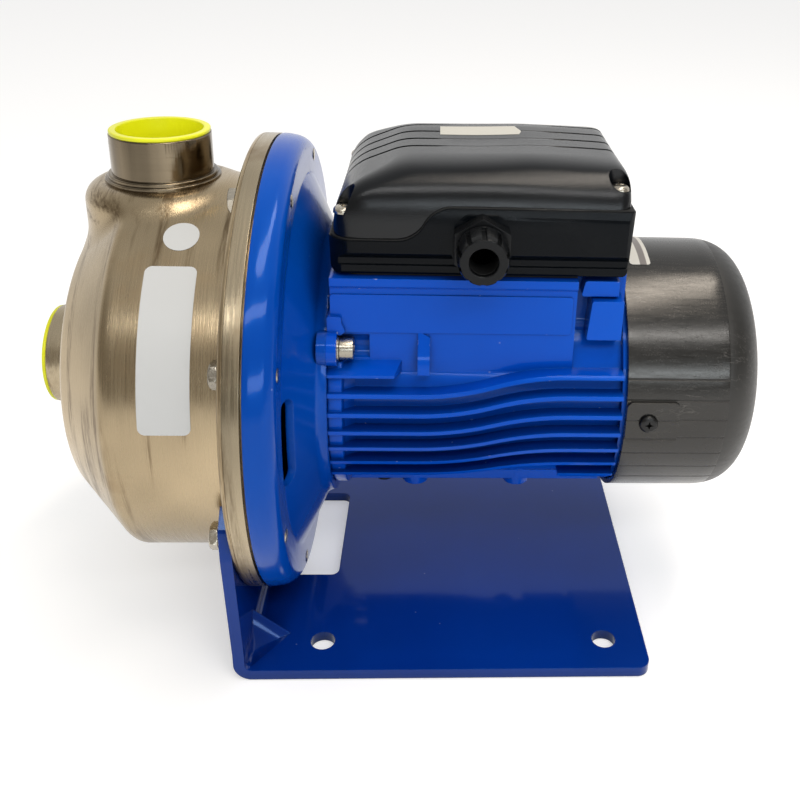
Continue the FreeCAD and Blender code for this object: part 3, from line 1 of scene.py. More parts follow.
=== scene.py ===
"""Close-coupled centrifugal pump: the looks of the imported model.

The stainless casing, the blue castings, the black mouldings and the small hardware are dressed here.
Sizes are in millimetres in the pump's own frame (X along the shaft with 0 at the casing joint, Z up
with 0 at the shaft axis) and are turned into the model's frame in metres when a mesh is finished.
"""

import json
import logging
import math
from contextlib import contextmanager
from dataclasses import dataclass
from enum import Enum
from typing import Iterable, Iterator, Sequence

import bmesh
import bpy
import numpy as np
from mathutils import Matrix, Vector
from mathutils.bvhtree import BVHTree

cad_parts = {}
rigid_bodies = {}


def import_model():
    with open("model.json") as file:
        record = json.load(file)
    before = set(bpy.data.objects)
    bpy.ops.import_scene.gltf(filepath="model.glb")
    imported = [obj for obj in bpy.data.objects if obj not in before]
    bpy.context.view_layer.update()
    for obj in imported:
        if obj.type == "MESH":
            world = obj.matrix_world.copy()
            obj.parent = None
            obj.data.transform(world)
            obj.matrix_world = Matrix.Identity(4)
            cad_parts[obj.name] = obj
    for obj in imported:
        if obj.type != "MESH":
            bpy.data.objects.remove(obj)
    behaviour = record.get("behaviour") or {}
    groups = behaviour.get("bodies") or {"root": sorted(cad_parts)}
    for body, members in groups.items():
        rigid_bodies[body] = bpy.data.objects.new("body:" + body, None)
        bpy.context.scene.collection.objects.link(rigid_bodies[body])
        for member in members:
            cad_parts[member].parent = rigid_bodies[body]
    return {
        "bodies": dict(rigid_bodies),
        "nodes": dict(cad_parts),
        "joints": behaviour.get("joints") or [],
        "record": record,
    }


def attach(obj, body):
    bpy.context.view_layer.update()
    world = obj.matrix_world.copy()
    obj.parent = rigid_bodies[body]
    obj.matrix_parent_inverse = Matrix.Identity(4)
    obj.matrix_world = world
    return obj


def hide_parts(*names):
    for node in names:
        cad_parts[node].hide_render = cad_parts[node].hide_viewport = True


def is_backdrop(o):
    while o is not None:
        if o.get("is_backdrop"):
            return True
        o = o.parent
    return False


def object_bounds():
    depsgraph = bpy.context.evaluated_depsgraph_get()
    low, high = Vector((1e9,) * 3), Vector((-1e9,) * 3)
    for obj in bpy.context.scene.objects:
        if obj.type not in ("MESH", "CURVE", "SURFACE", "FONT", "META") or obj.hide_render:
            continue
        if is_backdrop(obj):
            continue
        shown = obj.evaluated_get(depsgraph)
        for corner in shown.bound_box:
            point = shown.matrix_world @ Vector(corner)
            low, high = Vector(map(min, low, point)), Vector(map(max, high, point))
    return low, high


LOG = logging.getLogger("pump")

MM = 0.001
SHAFT_HEIGHT = 116.0
BASE_CENTRE_X = 88.6
MERGE = 2e-6  # metres within which vertices are one
EDGE_RAYS = {"samples": 4}  # of each node that looks round an edge
SMALL_CREASE = 30.0  # degrees over which a small piece's edge stays sharp
SHEET_CREASE = 40.0  # the same for thin sheet

Point = tuple[float, float, float]
Colour = tuple[float, float, float]
Outline = list[tuple[float, float]]


def at(x: float, y: float, z: float) -> Vector:
    """Place of a pump-frame point in the model's frame.

    Args:
        x, y, z: pump-frame place in millimetres.

    Returns:
        The same place in metres.
    """
    return Vector(((x - BASE_CENTRE_X) * MM, y * MM, (z + SHAFT_HEIGHT) * MM))


def scaled(colour: Colour, *shares: float) -> Colour:
    """A colour times one share, or times one for each channel."""
    return tuple(c * share for c, share in zip(colour, shares * 3 if len(shares) == 1 else shares))


class Body(Enum):
    """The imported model's rigid bodies."""

    UNIT = "pump_unit"
    ROTOR = "rotor"
    LID = "terminal_lid"
    SUCTION_PLUG = "suction_plug_body"
    DISCHARGE_PLUG = "discharge_plug_body"


# Shader helpers


class Field:
    """Output of a node; arithmetic with it adds Math nodes to its tree."""

    def __init__(self, tree: "Tree", socket: bpy.types.NodeSocket) -> None:
        """Keep the output and the builder of its tree."""
        self.tree, self.socket = tree, socket

    def __add__(self, other: object) -> "Field":
        """This plus another."""
        return self.tree.math("ADD", self, other)

    def __sub__(self, other: object) -> "Field":
        """This minus another."""
        return self.tree.math("SUBTRACT", self, other)

    def __rsub__(self, other: object) -> "Field":
        """A number minus this."""
        return self.tree.math("SUBTRACT", other, self)

    def __mul__(self, other: object) -> "Field":
        """This times another."""
        return self.tree.math("MULTIPLY", self, other)

    __radd__, __rmul__ = __add__, __mul__

    def clamped(self) -> "Field":
        """The same Math result, held between 0 and 1."""
        self.socket.node.use_clamp = True
        return self


class Tree:
    """Short-hand for building one node tree."""

    def __init__(self, tree: bpy.types.NodeTree) -> None:
        """Keep the tree that nodes are added to."""
        self.tree = tree

    def node(
        self, kind: str, *values: object, settings: dict | None = None, **inputs: object,
    ) -> bpy.types.Node:
        """Add a node.

        Args:
            kind: full type name of the node.
            *values: values or outputs for its first inputs, in order.
            settings: attributes of the node.
            **inputs: values or outputs for inputs by name, with underscores for spaces.

        Returns:
            The new node.
        """
        made = self.tree.nodes.new(kind)
        for key, value in (settings or {}).items():
            setattr(made, key, value)
        for index, value in enumerate(values):
            self.feed(made, index, value)
        for key, value in inputs.items():
            self.feed(made, key.replace("_", " "), value)
        return made

    def out(self, kind: str, *values: object, pick: int | str = 0, **options: object) -> Field:
        """Add a node and return one of its outputs, the first unless another is picked."""
        return Field(self, self.node(kind, *values, **options).outputs[pick])

    def feed(self, made: bpy.types.Node, key: int | str, value: object) -> None:
        """Set a node's input to a value, or link an output to it.

        Args:
            made: the node.
            key: number or name of the input.
            value: a value, or another node's output.
        """
        socket = made.inputs[key]
        if isinstance(value, Field):
            self.tree.links.new(value.socket, socket)
        elif isinstance(value, tuple) and len(value) == 3 and len(socket.default_value) == 4:
            socket.default_value = (*value, 1.0)
        else:
            socket.default_value = value

    def math(self, operation: str, *values: object) -> Field:
        """Add a Math node."""
        return self.out("ShaderNodeMath", *values, settings={"operation": operation})

    def band(self, value: Field, low: float, high: float, to_low: float = 0.0, to_high: float = 1.0) -> Field:
        """Add a smooth Map Range from low..high to to_low..to_high."""
        smooth = {"interpolation_type": "SMOOTHSTEP"}
        return self.out("ShaderNodeMapRange", value, low, high, to_low, to_high, settings=smooth)

    def noise(self, vector: Field, scale: object, detail: float = 3.0, rough: float = 0.5) -> Field:
        """Add a Noise Texture."""
        return self.out("ShaderNodeTexNoise", Vector=vector, Scale=scale, Detail=detail, Roughness=rough)

    def stretch(self, vector: Field, scale: Point) -> Field:
        """Add a Mapping node that scales a vector."""
        return self.out("ShaderNodeMapping", Vector=vector, Scale=scale)

    def mix(self, factor: Field, first: object, second: object) -> Field:
        """Add a colour mix; its colours are inputs 6 and 7 and its colour output is number 2.

        Args:
            factor: share of the second colour.
            first: colour or output at 0.
            second: colour or output at 1.

        Returns:
            The mixed colour.
        """
        made = self.node("ShaderNodeMix", factor, settings={"data_type": "RGBA"})
        self.feed(made, 6, first)
        self.feed(made, 7, second)
        return Field(self, made.outputs[2])

    def split(self, vector: Field) -> list[Field]:
        """Separate a vector into its three parts."""
        return [Field(self, socket) for socket in self.node("ShaderNodeSeparateXYZ", vector).outputs]

    def polar(self, vector: Field) -> tuple[Field, Field, Field]:
        """Split object coordinates into shaft place, radius and angle about the shaft axis.

        Args:
            vector: object coordinates in metres.

        Returns:
            X in metres, radius in metres and the angle from the top in radians, with its seam underneath.
        """
        along, across, up = self.split(vector)
        height = up - SHAFT_HEIGHT * MM
        radius = self.math("SQRT", across * across + height * height)
        return along, radius, self.math("ARCTAN2", across, height)

    def turned(self, shaft: Sequence[Field], scale: Point, detail: float = 3.0, rough: float = 0.5) -> Field:
        """Noise drawn out round the shaft, as turning or brushing leaves it.

        Args:
            shaft: what polar() returned.
            scale: cells for a metre along, a metre outwards and a radian round the shaft.
            detail: octaves of the noise.
            rough: share of each finer octave.

        Returns:
            The noise.
        """
        spread = self.out("ShaderNodeCombineXYZ", *(part * size for part, size in zip(shaft, scale)))
        return self.noise(spread, 1.0, detail, rough)

    def close(self, result: Field) -> bpy.types.NodeTree:
        """Feed the group's output and return the group."""
        self.node("NodeGroupOutput", result)
        return self.tree


def mask_group(name: str, **inputs: float) -> tuple[Tree, dict[str, Field]]:
    """Start a shader group with a Vector input, number inputs and a Mask output.

    Args:
        name: group name.
        **inputs: default of each number input.

    Returns:
        The group's builder, and its inputs by name.
    """
    group = bpy.data.node_groups.new(name, "ShaderNodeTree")
    face = group.interface
    face.new_socket("Vector", in_out="INPUT", socket_type="NodeSocketVector")
    for label, default in inputs.items():
        face.new_socket(label, in_out="INPUT", socket_type="NodeSocketFloat").default_value = default
    face.new_socket("Mask", in_out="OUTPUT", socket_type="NodeSocketFloat")
    tree = Tree(group)
    return tree, {socket.name: Field(tree, socket) for socket in tree.node("NodeGroupInput").outputs}


def edge_wear() -> bpy.types.NodeTree:
    """Group for worn, chipped convex edges, broken up by noise."""
    tree, given = mask_group("edge_wear", Reach=0.0008, Amount=0.5, Scale=160.0)
    rounded = tree.out("ShaderNodeBevel", settings=EDGE_RAYS, Radius=given["Reach"])
    plain = tree.out("ShaderNodeNewGeometry", pick="Normal")
    dot = {"operation": "DOT_PRODUCT"}
    facing = tree.out("ShaderNodeVectorMath", rounded, plain, settings=dot, pick="Value")
    broken = tree.noise(given["Vector"], given["Scale"], 6.0, 0.65)
    chips = ((broken - (1.0 - given["Amount"]) * 0.75) * 14.0).clamped()
    return tree.close((tree.band(facing, 0.985, 0.90) * chips).clamped())


def smudges() -> bpy.types.NodeTree:
    """Group for soft handling marks: a broad mask with finer mottling inside it."""
    tree, given = mask_group("smudges", Scale=18.0, Spread=0.5)
    broad = tree.noise(given["Vector"], given["Scale"], 4.0, 0.6)
    fine = tree.noise(given["Vector"], given["Scale"] * 7.0, 5.0, 0.7)
    mask = ((broad - (0.75 - given["Spread"] * 0.4)) * 6.0).clamped()
    return tree.close((mask * tree.band(fine, 0.35, 0.65, 0.4, 1.0)).clamped())


def scratches() -> bpy.types.NodeTree:
    """Group for sparse fine scratches that run mostly along one direction."""
    tree, given = mask_group("scratches", Density=0.5)
    place = given["Vector"]
    bent = tree.out("ShaderNodeTexNoise", pick="Color", Vector=place, Scale=9.0, Detail=2.0)
    sway = (0.05, 0.05, 0.05)
    drift = tree.out("ShaderNodeVectorMath", bent, sway, place, settings={"operation": "MULTIPLY_ADD"})
    line = tree.noise(tree.stretch(drift, (40.0, 420.0, 420.0)), 1.0, 2.0)
    thin = tree.band(tree.math("ABSOLUTE", line - 0.5), 0.012, 0.0)
    gate = ((tree.noise(place, 26.0) + given["Density"] - 1.0) * 8.0).clamped()
    return tree.close((thin * gate).clamped())


def specks() -> bpy.types.NodeTree:
    """Group for scattered dust grains and pin holes, each a small soft dot."""
    tree, given = mask_group("specks", Scale=200.0, Amount=0.3)
    cells = tree.node("ShaderNodeTexVoronoi", Vector=given["Vector"], Scale=given["Scale"])
    dot = tree.band(Field(tree, cells.outputs["Distance"]), 0.16, 0.05)
    lot = tree.split(Field(tree, cells.outputs["Color"]))[0]
    return tree.close((dot * tree.math("LESS_THAN", lot, given["Amount"] * 0.25)).clamped())


Groups = dict[str, bpy.types.NodeTree]


class Finish:
    """One material: a Principled shader with object-space detail feeding it."""

    def __init__(self, name: str, groups: Groups, **constants: object) -> None:
        """Start the material.

        Args:
            name: material name.
            groups: the shared shader groups by name.
            **constants: Principled sockets with the same value all over, underscores for spaces.
        """
        self.material = bpy.data.materials.new(name)
        self.material.use_nodes = True
        self.material.node_tree.nodes.clear()
        self.groups = groups
        self.tree = Tree(self.material.node_tree)
        self.shader = self.tree.node("ShaderNodeBsdfPrincipled", **constants)
        self.tree.node("ShaderNodeOutputMaterial", Field(self.tree, self.shader.outputs[0]))
        self.place = self.tree.out("ShaderNodeTexCoord", pick="Object")

    def mask(self, group: str, **inputs: object) -> Field:
        """Place a shared group and return its mask."""
        return self.tree.out(
            "ShaderNodeGroup", settings={"node_tree": self.groups[group]}, Vector=self.place, **inputs)

    def set(self, socket: str, value: object) -> None:
        """Feed one of the Principled shader's sockets."""
        self.tree.feed(self.shader, socket, value)

    def bump(self, height: Field, distance: float, strength: float = 1.0, soften: float = 0.0) -> None:
        """Feed the normal from a height field.

        Args:
            height: the field, 0 to 1.
            distance: depth in metres that 1 stands for.
            strength: share of the effect.
            soften: radius in millimetres that sharp edges are shaded with.
        """
        made = self.tree.node("ShaderNodeBump", Strength=strength, Distance=distance, Height=height)
        if soften:
            edge = self.tree.out("ShaderNodeBevel", settings=EDGE_RAYS, Radius=soften * MM)
            self.tree.feed(made, "Normal", edge)
        self.set("Normal", Field(self.tree, made.outputs[0]))


class Brushing(Enum):
    """How the fine lines of a metal surface lie."""

    SHAFT = "round the shaft"
    UPRIGHT = "round an upright axis"
    EVEN = "no direction"


class Recipe:
    """One kind of finish: what its shader starts from, and the detail painted over that."""

    def start(self) -> dict[str, object]:
        """Principled sockets with the same value all over."""
        return {"Metallic": 0.0}

    def paint(self, finish: Finish, tree: Tree, place: Field) -> None:
        """Feed the sockets that vary over the surface.

        Args:
            finish: the started material.
            tree: its node tree.
            place: object coordinates in metres.
        """

    def build(self, name: str, groups: Groups) -> bpy.types.Material:
        """Build the material.

        Args:
            name: material name.
            groups: the shared shader groups by name.

        Returns:
            The material.
        """
        finish = Finish(name, groups, **self.start())
        self.paint(finish, finish.tree, finish.place)
        return finish.material


@dataclass(frozen=True)
class BrushedSteel(Recipe):
    """Stainless steel brushed or turned round the shaft axis or another axis."""

    colour: Colour
    rough: float
    around: Brushing = Brushing.SHAFT
    lines: float = 2600.0
    depth: float = 0.00004
    soiled: float = 0.4
    zones: float = 0.0
    dark: float = 0.66
    cloud: Point = (9.0, 9.0, 9.0)
    stain: float = 0.55
    streak: float = 0.5

    def start(self) -> dict[str, object]:
        """Bare metal."""
        return {"Metallic": 1.0}

    def paint(self, finish: Finish, tree: Tree, place: Field) -> None:
        """Brush the metal, cloud it and leave brown marks in the grain."""
        if self.around is Brushing.SHAFT:
            shaft = tree.polar(place)
            grain = tree.turned(shaft, (self.lines, self.lines, 3.0), 4.0, 0.6)
        elif self.around is Brushing.UPRIGHT:
            grain = tree.noise(tree.stretch(place, (20.0, 20.0, self.lines)), 1.0, 4.0, 0.6)
        else:
            grain = tree.noise(place, self.lines * 0.3, 4.0, 0.6)
        smudge = finish.mask("smudges", Scale=22.0, Spread=self.soiled)
        # Random tone where the cloud is even; drawn out upright, as on the outlet socket, it paints light and
        # dark reflection bands.
        cloud = tree.noise(tree.stretch(place, self.cloud), 1.0)
        lighter = tuple(min(1.0, c) for c in scaled(self.colour, 1.18))
        brown = scaled(self.colour, 0.50, 0.40, 0.30)
        tone = tree.mix(tree.band(cloud, 0.3, 0.7), scaled(self.colour, self.dark), lighter)
        tone = tree.mix(smudge * self.stain, tone, brown)
        rough = (tree.band(grain, 0.25, 0.75, self.rough - 0.06, self.rough + 0.08) + smudge * 0.14).clamped()
        if self.zones:
            duller = self.duller_rings(tree, shaft)
            tone = tree.mix(duller * self.zones, tone, scaled(brown, 0.42))
            rough = (rough + duller * 0.10).clamped()
        finish.set("Base Color", tree.mix(tree.band(grain, 0.30, 0.10) * self.streak, tone, brown))
        finish.set("Roughness", rough)
        finish.bump(grain, self.depth, 0.8, 0.25)

    def duller_rings(self, tree: Tree, shaft: Sequence[Field]) -> Field:
        """Mask of the broad rings that the polishing wheel left duller.

        Args:
            tree: the material's node tree.
            shaft: what polar() returned.

        Returns:
            The mask.
        """
        broad = tree.turned(shaft, (130.0, 130.0, 0.9), 2.0)
        fine = tree.turned(shaft, (900.0, 900.0, 5.0), 3.0, 0.7)
        return (tree.band(broad, 0.50, 0.66) * tree.band(fine, 0.35, 0.65)).clamped()


@dataclass(frozen=True)
class BlueEnamel(Recipe):
    """Gloss blue enamel over metal, with orange peel, a few chips on its edges and painted shade in its
    crevices.
    """

    colour: Colour
    rough: float
    chips: float
    peel: float = 0.00012
    gloss: float = 0.35
    coat: float = 0.20
    under: Colour = (0.42, 0.47, 0.58)
    tint: Colour = (0.06, 0.34, 1.0)
    dust: Colour = (0.16, 0.28, 0.60)
    speck: Colour = (0.30, 0.36, 0.50)
    chip_reach: float = 0.0007
    chip_scale: float = 210.0
    # Painted shade: how far ambient occlusion looks for crevices, in metres, and the share of the colour left
    # in the deepest of them.
    crevice: float = 0.014
    crevice_dark: float = 0.12

    def start(self) -> dict[str, object]:
        """Blue-tinted gloss under a thin clear coat."""
        return {"Metallic": 0.0, "IOR": 1.5, "Coat_Roughness": 0.07,
                "Specular_IOR_Level": self.gloss, "Specular_Tint": self.tint}

    def paint(self, finish: Finish, tree: Tree, place: Field) -> None:
        """Lay the enamel over its chips, dust and peel, and paint shade into its crevices."""
        wear = finish.mask("edge_wear", Reach=self.chip_reach, Amount=self.chips, Scale=self.chip_scale)
        smudge = finish.mask("smudges", Scale=14.0, Spread=0.35)
        grains = finish.mask("specks", Scale=260.0, Amount=0.16)
        cloud = tree.noise(place, 7.0, 4.0)
        bright = scaled(self.colour, 1.3, 1.2, 1.06)
        tone = tree.mix(tree.band(cloud, 0.3, 0.7), scaled(self.colour, 0.78), bright)
        # Painted shade: the colour is darkened where ambient occlusion finds crevices and the gaps between
        # fins.
        air = tree.out("ShaderNodeAmbientOcclusion", settings=EDGE_RAYS, pick="AO", Distance=self.crevice)
        dark = scaled(self.colour, self.crevice_dark)
        tone = tree.mix(tree.band(air, 0.25, 0.85, 0.30, 1.0), dark, tone)
        tone = tree.mix(smudge * 0.03, tone, self.dust)
        tone = tree.mix(grains * 0.35, tone, self.speck)
        finish.set("Base Color", tree.mix(wear, tone, self.under))
        finish.set("Metallic", wear * 0.5)
        soft = smudge * 0.10 + wear * 0.25
        finish.set("Roughness", (cloud * 0.06 + (self.rough - 0.03) + soft).clamped())
        finish.set("Coat Weight", (self.coat - wear * self.coat).clamped())
        skin = tree.noise(place, 420.0, 2.0, 0.4) * 0.4 + tree.noise(place, 90.0) * 0.6
        finish.bump(skin - wear * 0.4, self.peel, 0.55, 0.7)


@dataclass(frozen=True)
class Moulding(Recipe):
    """Moulded plastic or rubber with an even grain."""

    colour: Colour
    rough: float
    grain: float = 1400.0
    depth: float = 0.00005
    dust: float = 0.2
    gloss: float = 0.5
    sheen_colour: Colour = (0.35, 0.34, 0.33)
    grooves: tuple[float, ...] = ()
    groove_depth: float = 0.0006
    groove_edge: tuple[float, float] = (0.0013, 0.0006)
    top_z: float = 88.0
    rear_x: float = 152.0

    def start(self) -> dict[str, object]:
        """Plastic with its own gloss."""
        return {"Metallic": 0.0, "IOR": 1.48, "Specular_IOR_Level": self.gloss}

    def paint(self, finish: Finish, tree: Tree, place: Field) -> None:
        """Grain the plastic, mark it and cut its grooves."""
        smudge = finish.mask("smudges", Scale=16.0, Spread=0.4)
        scratch = finish.mask("scratches", Density=0.42)
        marks = tree.math("MAXIMUM", smudge * self.dust, scratch * (self.dust * 1.2))
        cloud = tree.noise(place, 15.0)
        tone = tree.mix(tree.band(cloud, 0.3, 0.7), scaled(self.colour, 0.85), scaled(self.colour, 1.15))
        finish.set("Base Color", tree.mix(marks, tone, self.sheen_colour))
        rough = tree.band(cloud, 0.3, 0.7, self.rough - 0.03, self.rough + 0.04)
        finish.set("Roughness", (rough + smudge * 0.12).clamped())
        height = tree.out(
            "ShaderNodeTexVoronoi", settings={"feature": "SMOOTH_F1"}, Vector=place, Scale=self.grain)
        if self.grooves:
            height = height - self.groove_mask(tree, place) * (self.groove_depth / self.depth)
        finish.bump(height, self.depth, 0.8, 0.5)

    def groove_mask(self, tree: Tree, place: Field) -> Field:
        """Mask of the narrow grooves that run along the top.

        Args:
            tree: the material's node tree.
            place: object coordinates in metres.

        Returns:
            The mask.
        """
        along, across, up = tree.split(place)
        offsets = [tree.math("ABSOLUTE", across - middle * MM) for middle in self.grooves]
        lines = sum(tree.band(offset, *self.groove_edge) for offset in offsets)
        rear = self.rear_x - BASE_CENTRE_X
        top = self.top_z + SHAFT_HEIGHT
        inside = tree.band(up, top * MM, (top + 1.0) * MM) * tree.band(along, rear * MM, (rear - 2.0) * MM)
        return (lines * inside).clamped()


@dataclass(frozen=True)
class CoverMoulding(Recipe):
    """Black fan cover: painted warm reflection streaks along its turned barrel, scuffs, grained dome, fine
    lines along its sides.
    """

    colour: Colour
    # Painted reflection: the warm colour of the streaks along the barrel.
    warm: Colour
    rough: float
    gloss: float = 0.66
    last_x: float = 200.4
    first_z: float = 19.2
    pitch: float = 9.1
    lowest_z: float = -38.0
    half_line: float = 0.34
    line_depth: float = 5.0
    depth: float = 0.00010
    tint: Colour = (1.0, 0.96, 0.91)
    scuffed: Colour = (0.16, 0.15, 0.14)
    line_colour: Colour = (0.004, 0.004, 0.004)

    def start(self) -> dict[str, object]:
        """Glossy plastic with a slightly warm sheen."""
        return {"Metallic": 0.0, "IOR": 1.48, "Specular_IOR_Level": self.gloss, "Specular_Tint": self.tint}

    def paint(self, finish: Finish, tree: Tree, place: Field) -> None:
        """Paint warm reflection streaks along the barrel, scuff the cover, grain the dome and draw the side
        lines.
        """
        shaft = tree.polar(place)
        last = self.last_x - BASE_CENTRE_X
        barrel = tree.band(shaft[0], (last + 0.4) * MM, (last - 0.4) * MM)
        streaks = tree.turned(shaft, (70.0, 500.0, 34.0), 5.0, 0.7)
        rings = tree.noise(tree.stretch(place, (1100.0, 30.0, 30.0)), 1.0, 3.0, 0.6)
        grain = tree.noise(place, 1500.0, 2.0)
        scuff = finish.mask("scratches", Density=0.50)
        line = self.side_lines(tree, place) * barrel
        # Painted reflection: warm streaks along the turned barrel stand in for the brown reflection bands it
        # shows.
        painted_reflection_streaks = tree.band(streaks, 0.45, 0.75) * barrel
        tone = tree.mix(painted_reflection_streaks * 0.5, self.colour, self.warm)
        tone = tree.mix(scuff * 0.35, tone, self.scuffed)
        finish.set("Base Color", tree.mix(line, tone, self.line_colour))
        rough = tree.band(streaks, 0.3, 0.7, self.rough - 0.05, self.rough + 0.05) + line * 0.3
        rough = rough + tree.band(barrel, 0.0, 1.0, 0.17, 0.0)
        finish.set("Roughness", (rough + tree.band(grain, 0.3, 0.7, 0.0, 0.06)).clamped())
        relief = rings * 0.16 + grain * 0.12 + streaks * 0.10 + barrel * 0.5
        finish.bump(relief - line * self.line_depth, self.depth, 0.8, 0.4)

    def side_lines(self, tree: Tree, place: Field) -> Field:
        """Mask of the evenly spaced lines along the barrel's sides.

        Args:
            tree: the material's node tree.
            place: object coordinates in metres.

        Returns:
            The mask.
        """
        height = tree.split(place)[2]
        first = (self.first_z + SHAFT_HEIGHT) * MM
        lowest = self.lowest_z + SHAFT_HEIGHT
        steps = tree.math("DIVIDE", height - first, self.pitch * MM)
        off = tree.math("ABSOLUTE", steps - tree.math("ROUND", steps))
        share = self.half_line / self.pitch
        under = tree.band(height, first + 0.0010, first + 0.0005)
        over = tree.band(height, lowest * MM, (lowest + 0.5) * MM)
        return (tree.band(off, share * 1.6, share * 0.7) * (under * over)).clamped()


@dataclass(frozen=True)
class Banded(Recipe):
    """Hidden parts with a regular build-up, such as laminations or wound wire."""

    colour: Colour
    second: Colour
    pitch: float
    metallic: float
    rough: float
    twisted: bool = False
    depth: float = 0.00012

    def start(self) -> dict[str, object]:
        """As much of a metal as the part is."""
        return {"Metallic": self.metallic}

    def paint(self, finish: Finish, tree: Tree, place: Field) -> None:
        """Band the surface along the shaft, or round it where it is twisted."""
        along, radius, _ = tree.polar(place)
        turns = along * self.pitch
        if self.twisted:
            turns = radius * self.pitch + along * (self.pitch * 0.8) + tree.noise(place, 60.0, 2.0) * 9.0
        band = tree.math("SINE", turns) * 0.5 + 0.5
        finish.set("Base Color", tree.mix(band, self.second, self.colour))
        smudge = finish.mask("smudges", Scale=30.0, Spread=0.4)
        finish.set("Roughness", (smudge * 0.15 + self.rough).clamped())
        finish.bump(band, self.depth, 0.8)


@dataclass(frozen=True)
class Paper(Recipe):
    """Plain sticker or paper stock with faint soiling and an optional grey bar."""

    colour: Colour
    rough: float = 0.45
    bar: tuple[float, float] | None = None
    bar_edge: float = 0.0003
    bar_colour: Colour = (0.20, 0.18, 0.17)

    def paint(self, finish: Finish, tree: Tree, place: Field) -> None:
        """Soil the paper and print its bar."""
        smudge = finish.mask("smudges", Scale=40.0, Spread=0.35)
        fibre = tree.noise(place, 900.0)
        tone = tree.mix(smudge * 0.25, self.colour, scaled(self.colour, 0.72))
        if self.bar:
            along = tree.split(place)[0]
            first, last = self.bar
            begun = tree.band(along, first - self.bar_edge, first)
            inside = begun * tree.band(along, last + self.bar_edge, last)
            tone = tree.mix(inside, tone, self.bar_colour)
        finish.set("Base Color", tone)
        finish.set("Roughness", tree.band(fibre, 0.3, 0.7, self.rough, self.rough + 0.1))
        finish.bump(fibre, 0.00002, 0.5)


class Palette:
    """Every finish of the pump, by name."""

    RECIPES = {
        # Painted reflection: the warm brown tint of the casing and rim steel stands in for reflections of
        # warm surroundings.
        "casing_steel": BrushedSteel((0.47, 0.37, 0.235), 0.25, soiled=0.6, zones=0.75),
        "polished_rim": BrushedSteel((0.44, 0.365, 0.25), 0.24, lines=1600.0, soiled=0.6, zones=0.5,
                                     dark=0.45),
        # Painted reflection: the outlet socket's dark colour and its upright light and dark cloud bands stand
        # in for reflections of its dark surroundings.
        "socket_steel": BrushedSteel((0.25, 0.20, 0.135), 0.15, Brushing.UPRIGHT, lines=1500.0, dark=0.40,
                                     cloud=(55.0, 55.0, 4.0)),
        "fastener_steel": BrushedSteel((0.46, 0.42, 0.35), 0.24, Brushing.EVEN, soiled=0.3),
        "fastener_black": BrushedSteel((0.040, 0.040, 0.040), 0.32, Brushing.EVEN, soiled=0.3),
        "ground_steel": BrushedSteel((0.62, 0.62, 0.63), 0.25, lines=4000.0, soiled=0.1),
        "cast_aluminium": BrushedSteel((0.55, 0.55, 0.56), 0.45, Brushing.EVEN, lines=900.0, depth=0.0001),
        "bearing_steel": BrushedSteel((0.72, 0.72, 0.73), 0.15, lines=5000.0, soiled=0.0),
        "adapter_blue": BlueEnamel((0.0006, 0.066, 0.44), 0.20, 0.12),
        "frame_blue": BlueEnamel((0.0006, 0.084, 0.62), 0.22, 0.15),
        # Painted shade: the bracket's deep blue is darkened further to stand in for the shade under the pump
        # and motor.
        "bracket_blue_painted_shade": BlueEnamel((0.0006, 0.026, 0.235), 0.10, 0.10, peel=0.00004, coat=0.3),
        "box_black": Moulding((0.0018, 0.0028, 0.0042), 0.20, grain=2600.0, dust=0.015, gloss=0.11),
        "lid_black": Moulding((0.0022, 0.0030, 0.0042), 0.20, grain=2600.0, depth=0.000055, dust=0.015,
                              gloss=0.36, grooves=(-10.0, 3.0, 16.0, 29.0)),
        # Painted reflection: the second, warm colour is painted along the barrel's streaks.
        "cover_black": CoverMoulding((0.0080, 0.0084, 0.0084), (0.017, 0.0145, 0.0120), 0.20),
        "gland_black": Moulding((0.0050, 0.0055, 0.0062), 0.26, grain=1800.0, depth=0.00004, dust=0.03,
                                gloss=0.20),
        "plug_yellow": Moulding((0.82, 0.83, 0.010), 0.30, grain=700.0, depth=0.00004, dust=0.05,
                                sheen_colour=(0.60, 0.60, 0.08)),
        "rubber_black": Moulding((0.012, 0.012, 0.012), 0.62, grain=1200.0, depth=0.00008, gloss=0.3),
        "seal_carbon": Moulding((0.03, 0.03, 0.033), 0.4, grain=2200.0),
        "seal_ceramic": Moulding((0.78, 0.76, 0.72), 0.2, grain=2600.0, depth=0.00001, dust=0.03),
        "block_plastic": Moulding((0.62, 0.60, 0.54), 0.45, grain=1500.0),
        "capacitor_plastic": Moulding((0.72, 0.72, 0.71), 0.38, grain=1600.0),
        "laminations": Banded((0.20, 0.20, 0.21), (0.08, 0.08, 0.085), 12566.0, 0.8, 0.45),
        "winding_copper": Banded((0.62, 0.25, 0.09), (0.28, 0.09, 0.03), 9000.0, 0.75, 0.32, twisted=True),
        "sticker_white": Paper((0.58, 0.585, 0.58), 0.35),
        "sticker_cover_plain": Paper((0.60, 0.58, 0.51), 0.4),
        "sticker_cover": Paper((0.66, 0.64, 0.58), 0.35, bar=(0.0762, 0.0790)),
    }

    def __init__(self) -> None:
        """Build the shared groups and the materials."""
        groups = {build.__name__: build() for build in (edge_wear, smudges, scratches, specks)}
        self.materials = {name: recipe.build(name, groups) for name, recipe in self.RECIPES.items()}

    def __getitem__(self, name: str) -> bpy.types.Material:
        """The material of that name."""
        return self.materials[name]


# Mesh helpers


@contextmanager
def edited(mesh: bpy.types.Mesh) -> Iterator[bmesh.types.BMesh]:
    """Open a mesh for editing and write the result back to it.

    Args:
        mesh: the mesh.

    Yields:
        Its editable form.
    """
    made = bmesh.new()
    made.from_mesh(mesh)
    yield made
    made.to_mesh(mesh)
    made.free()


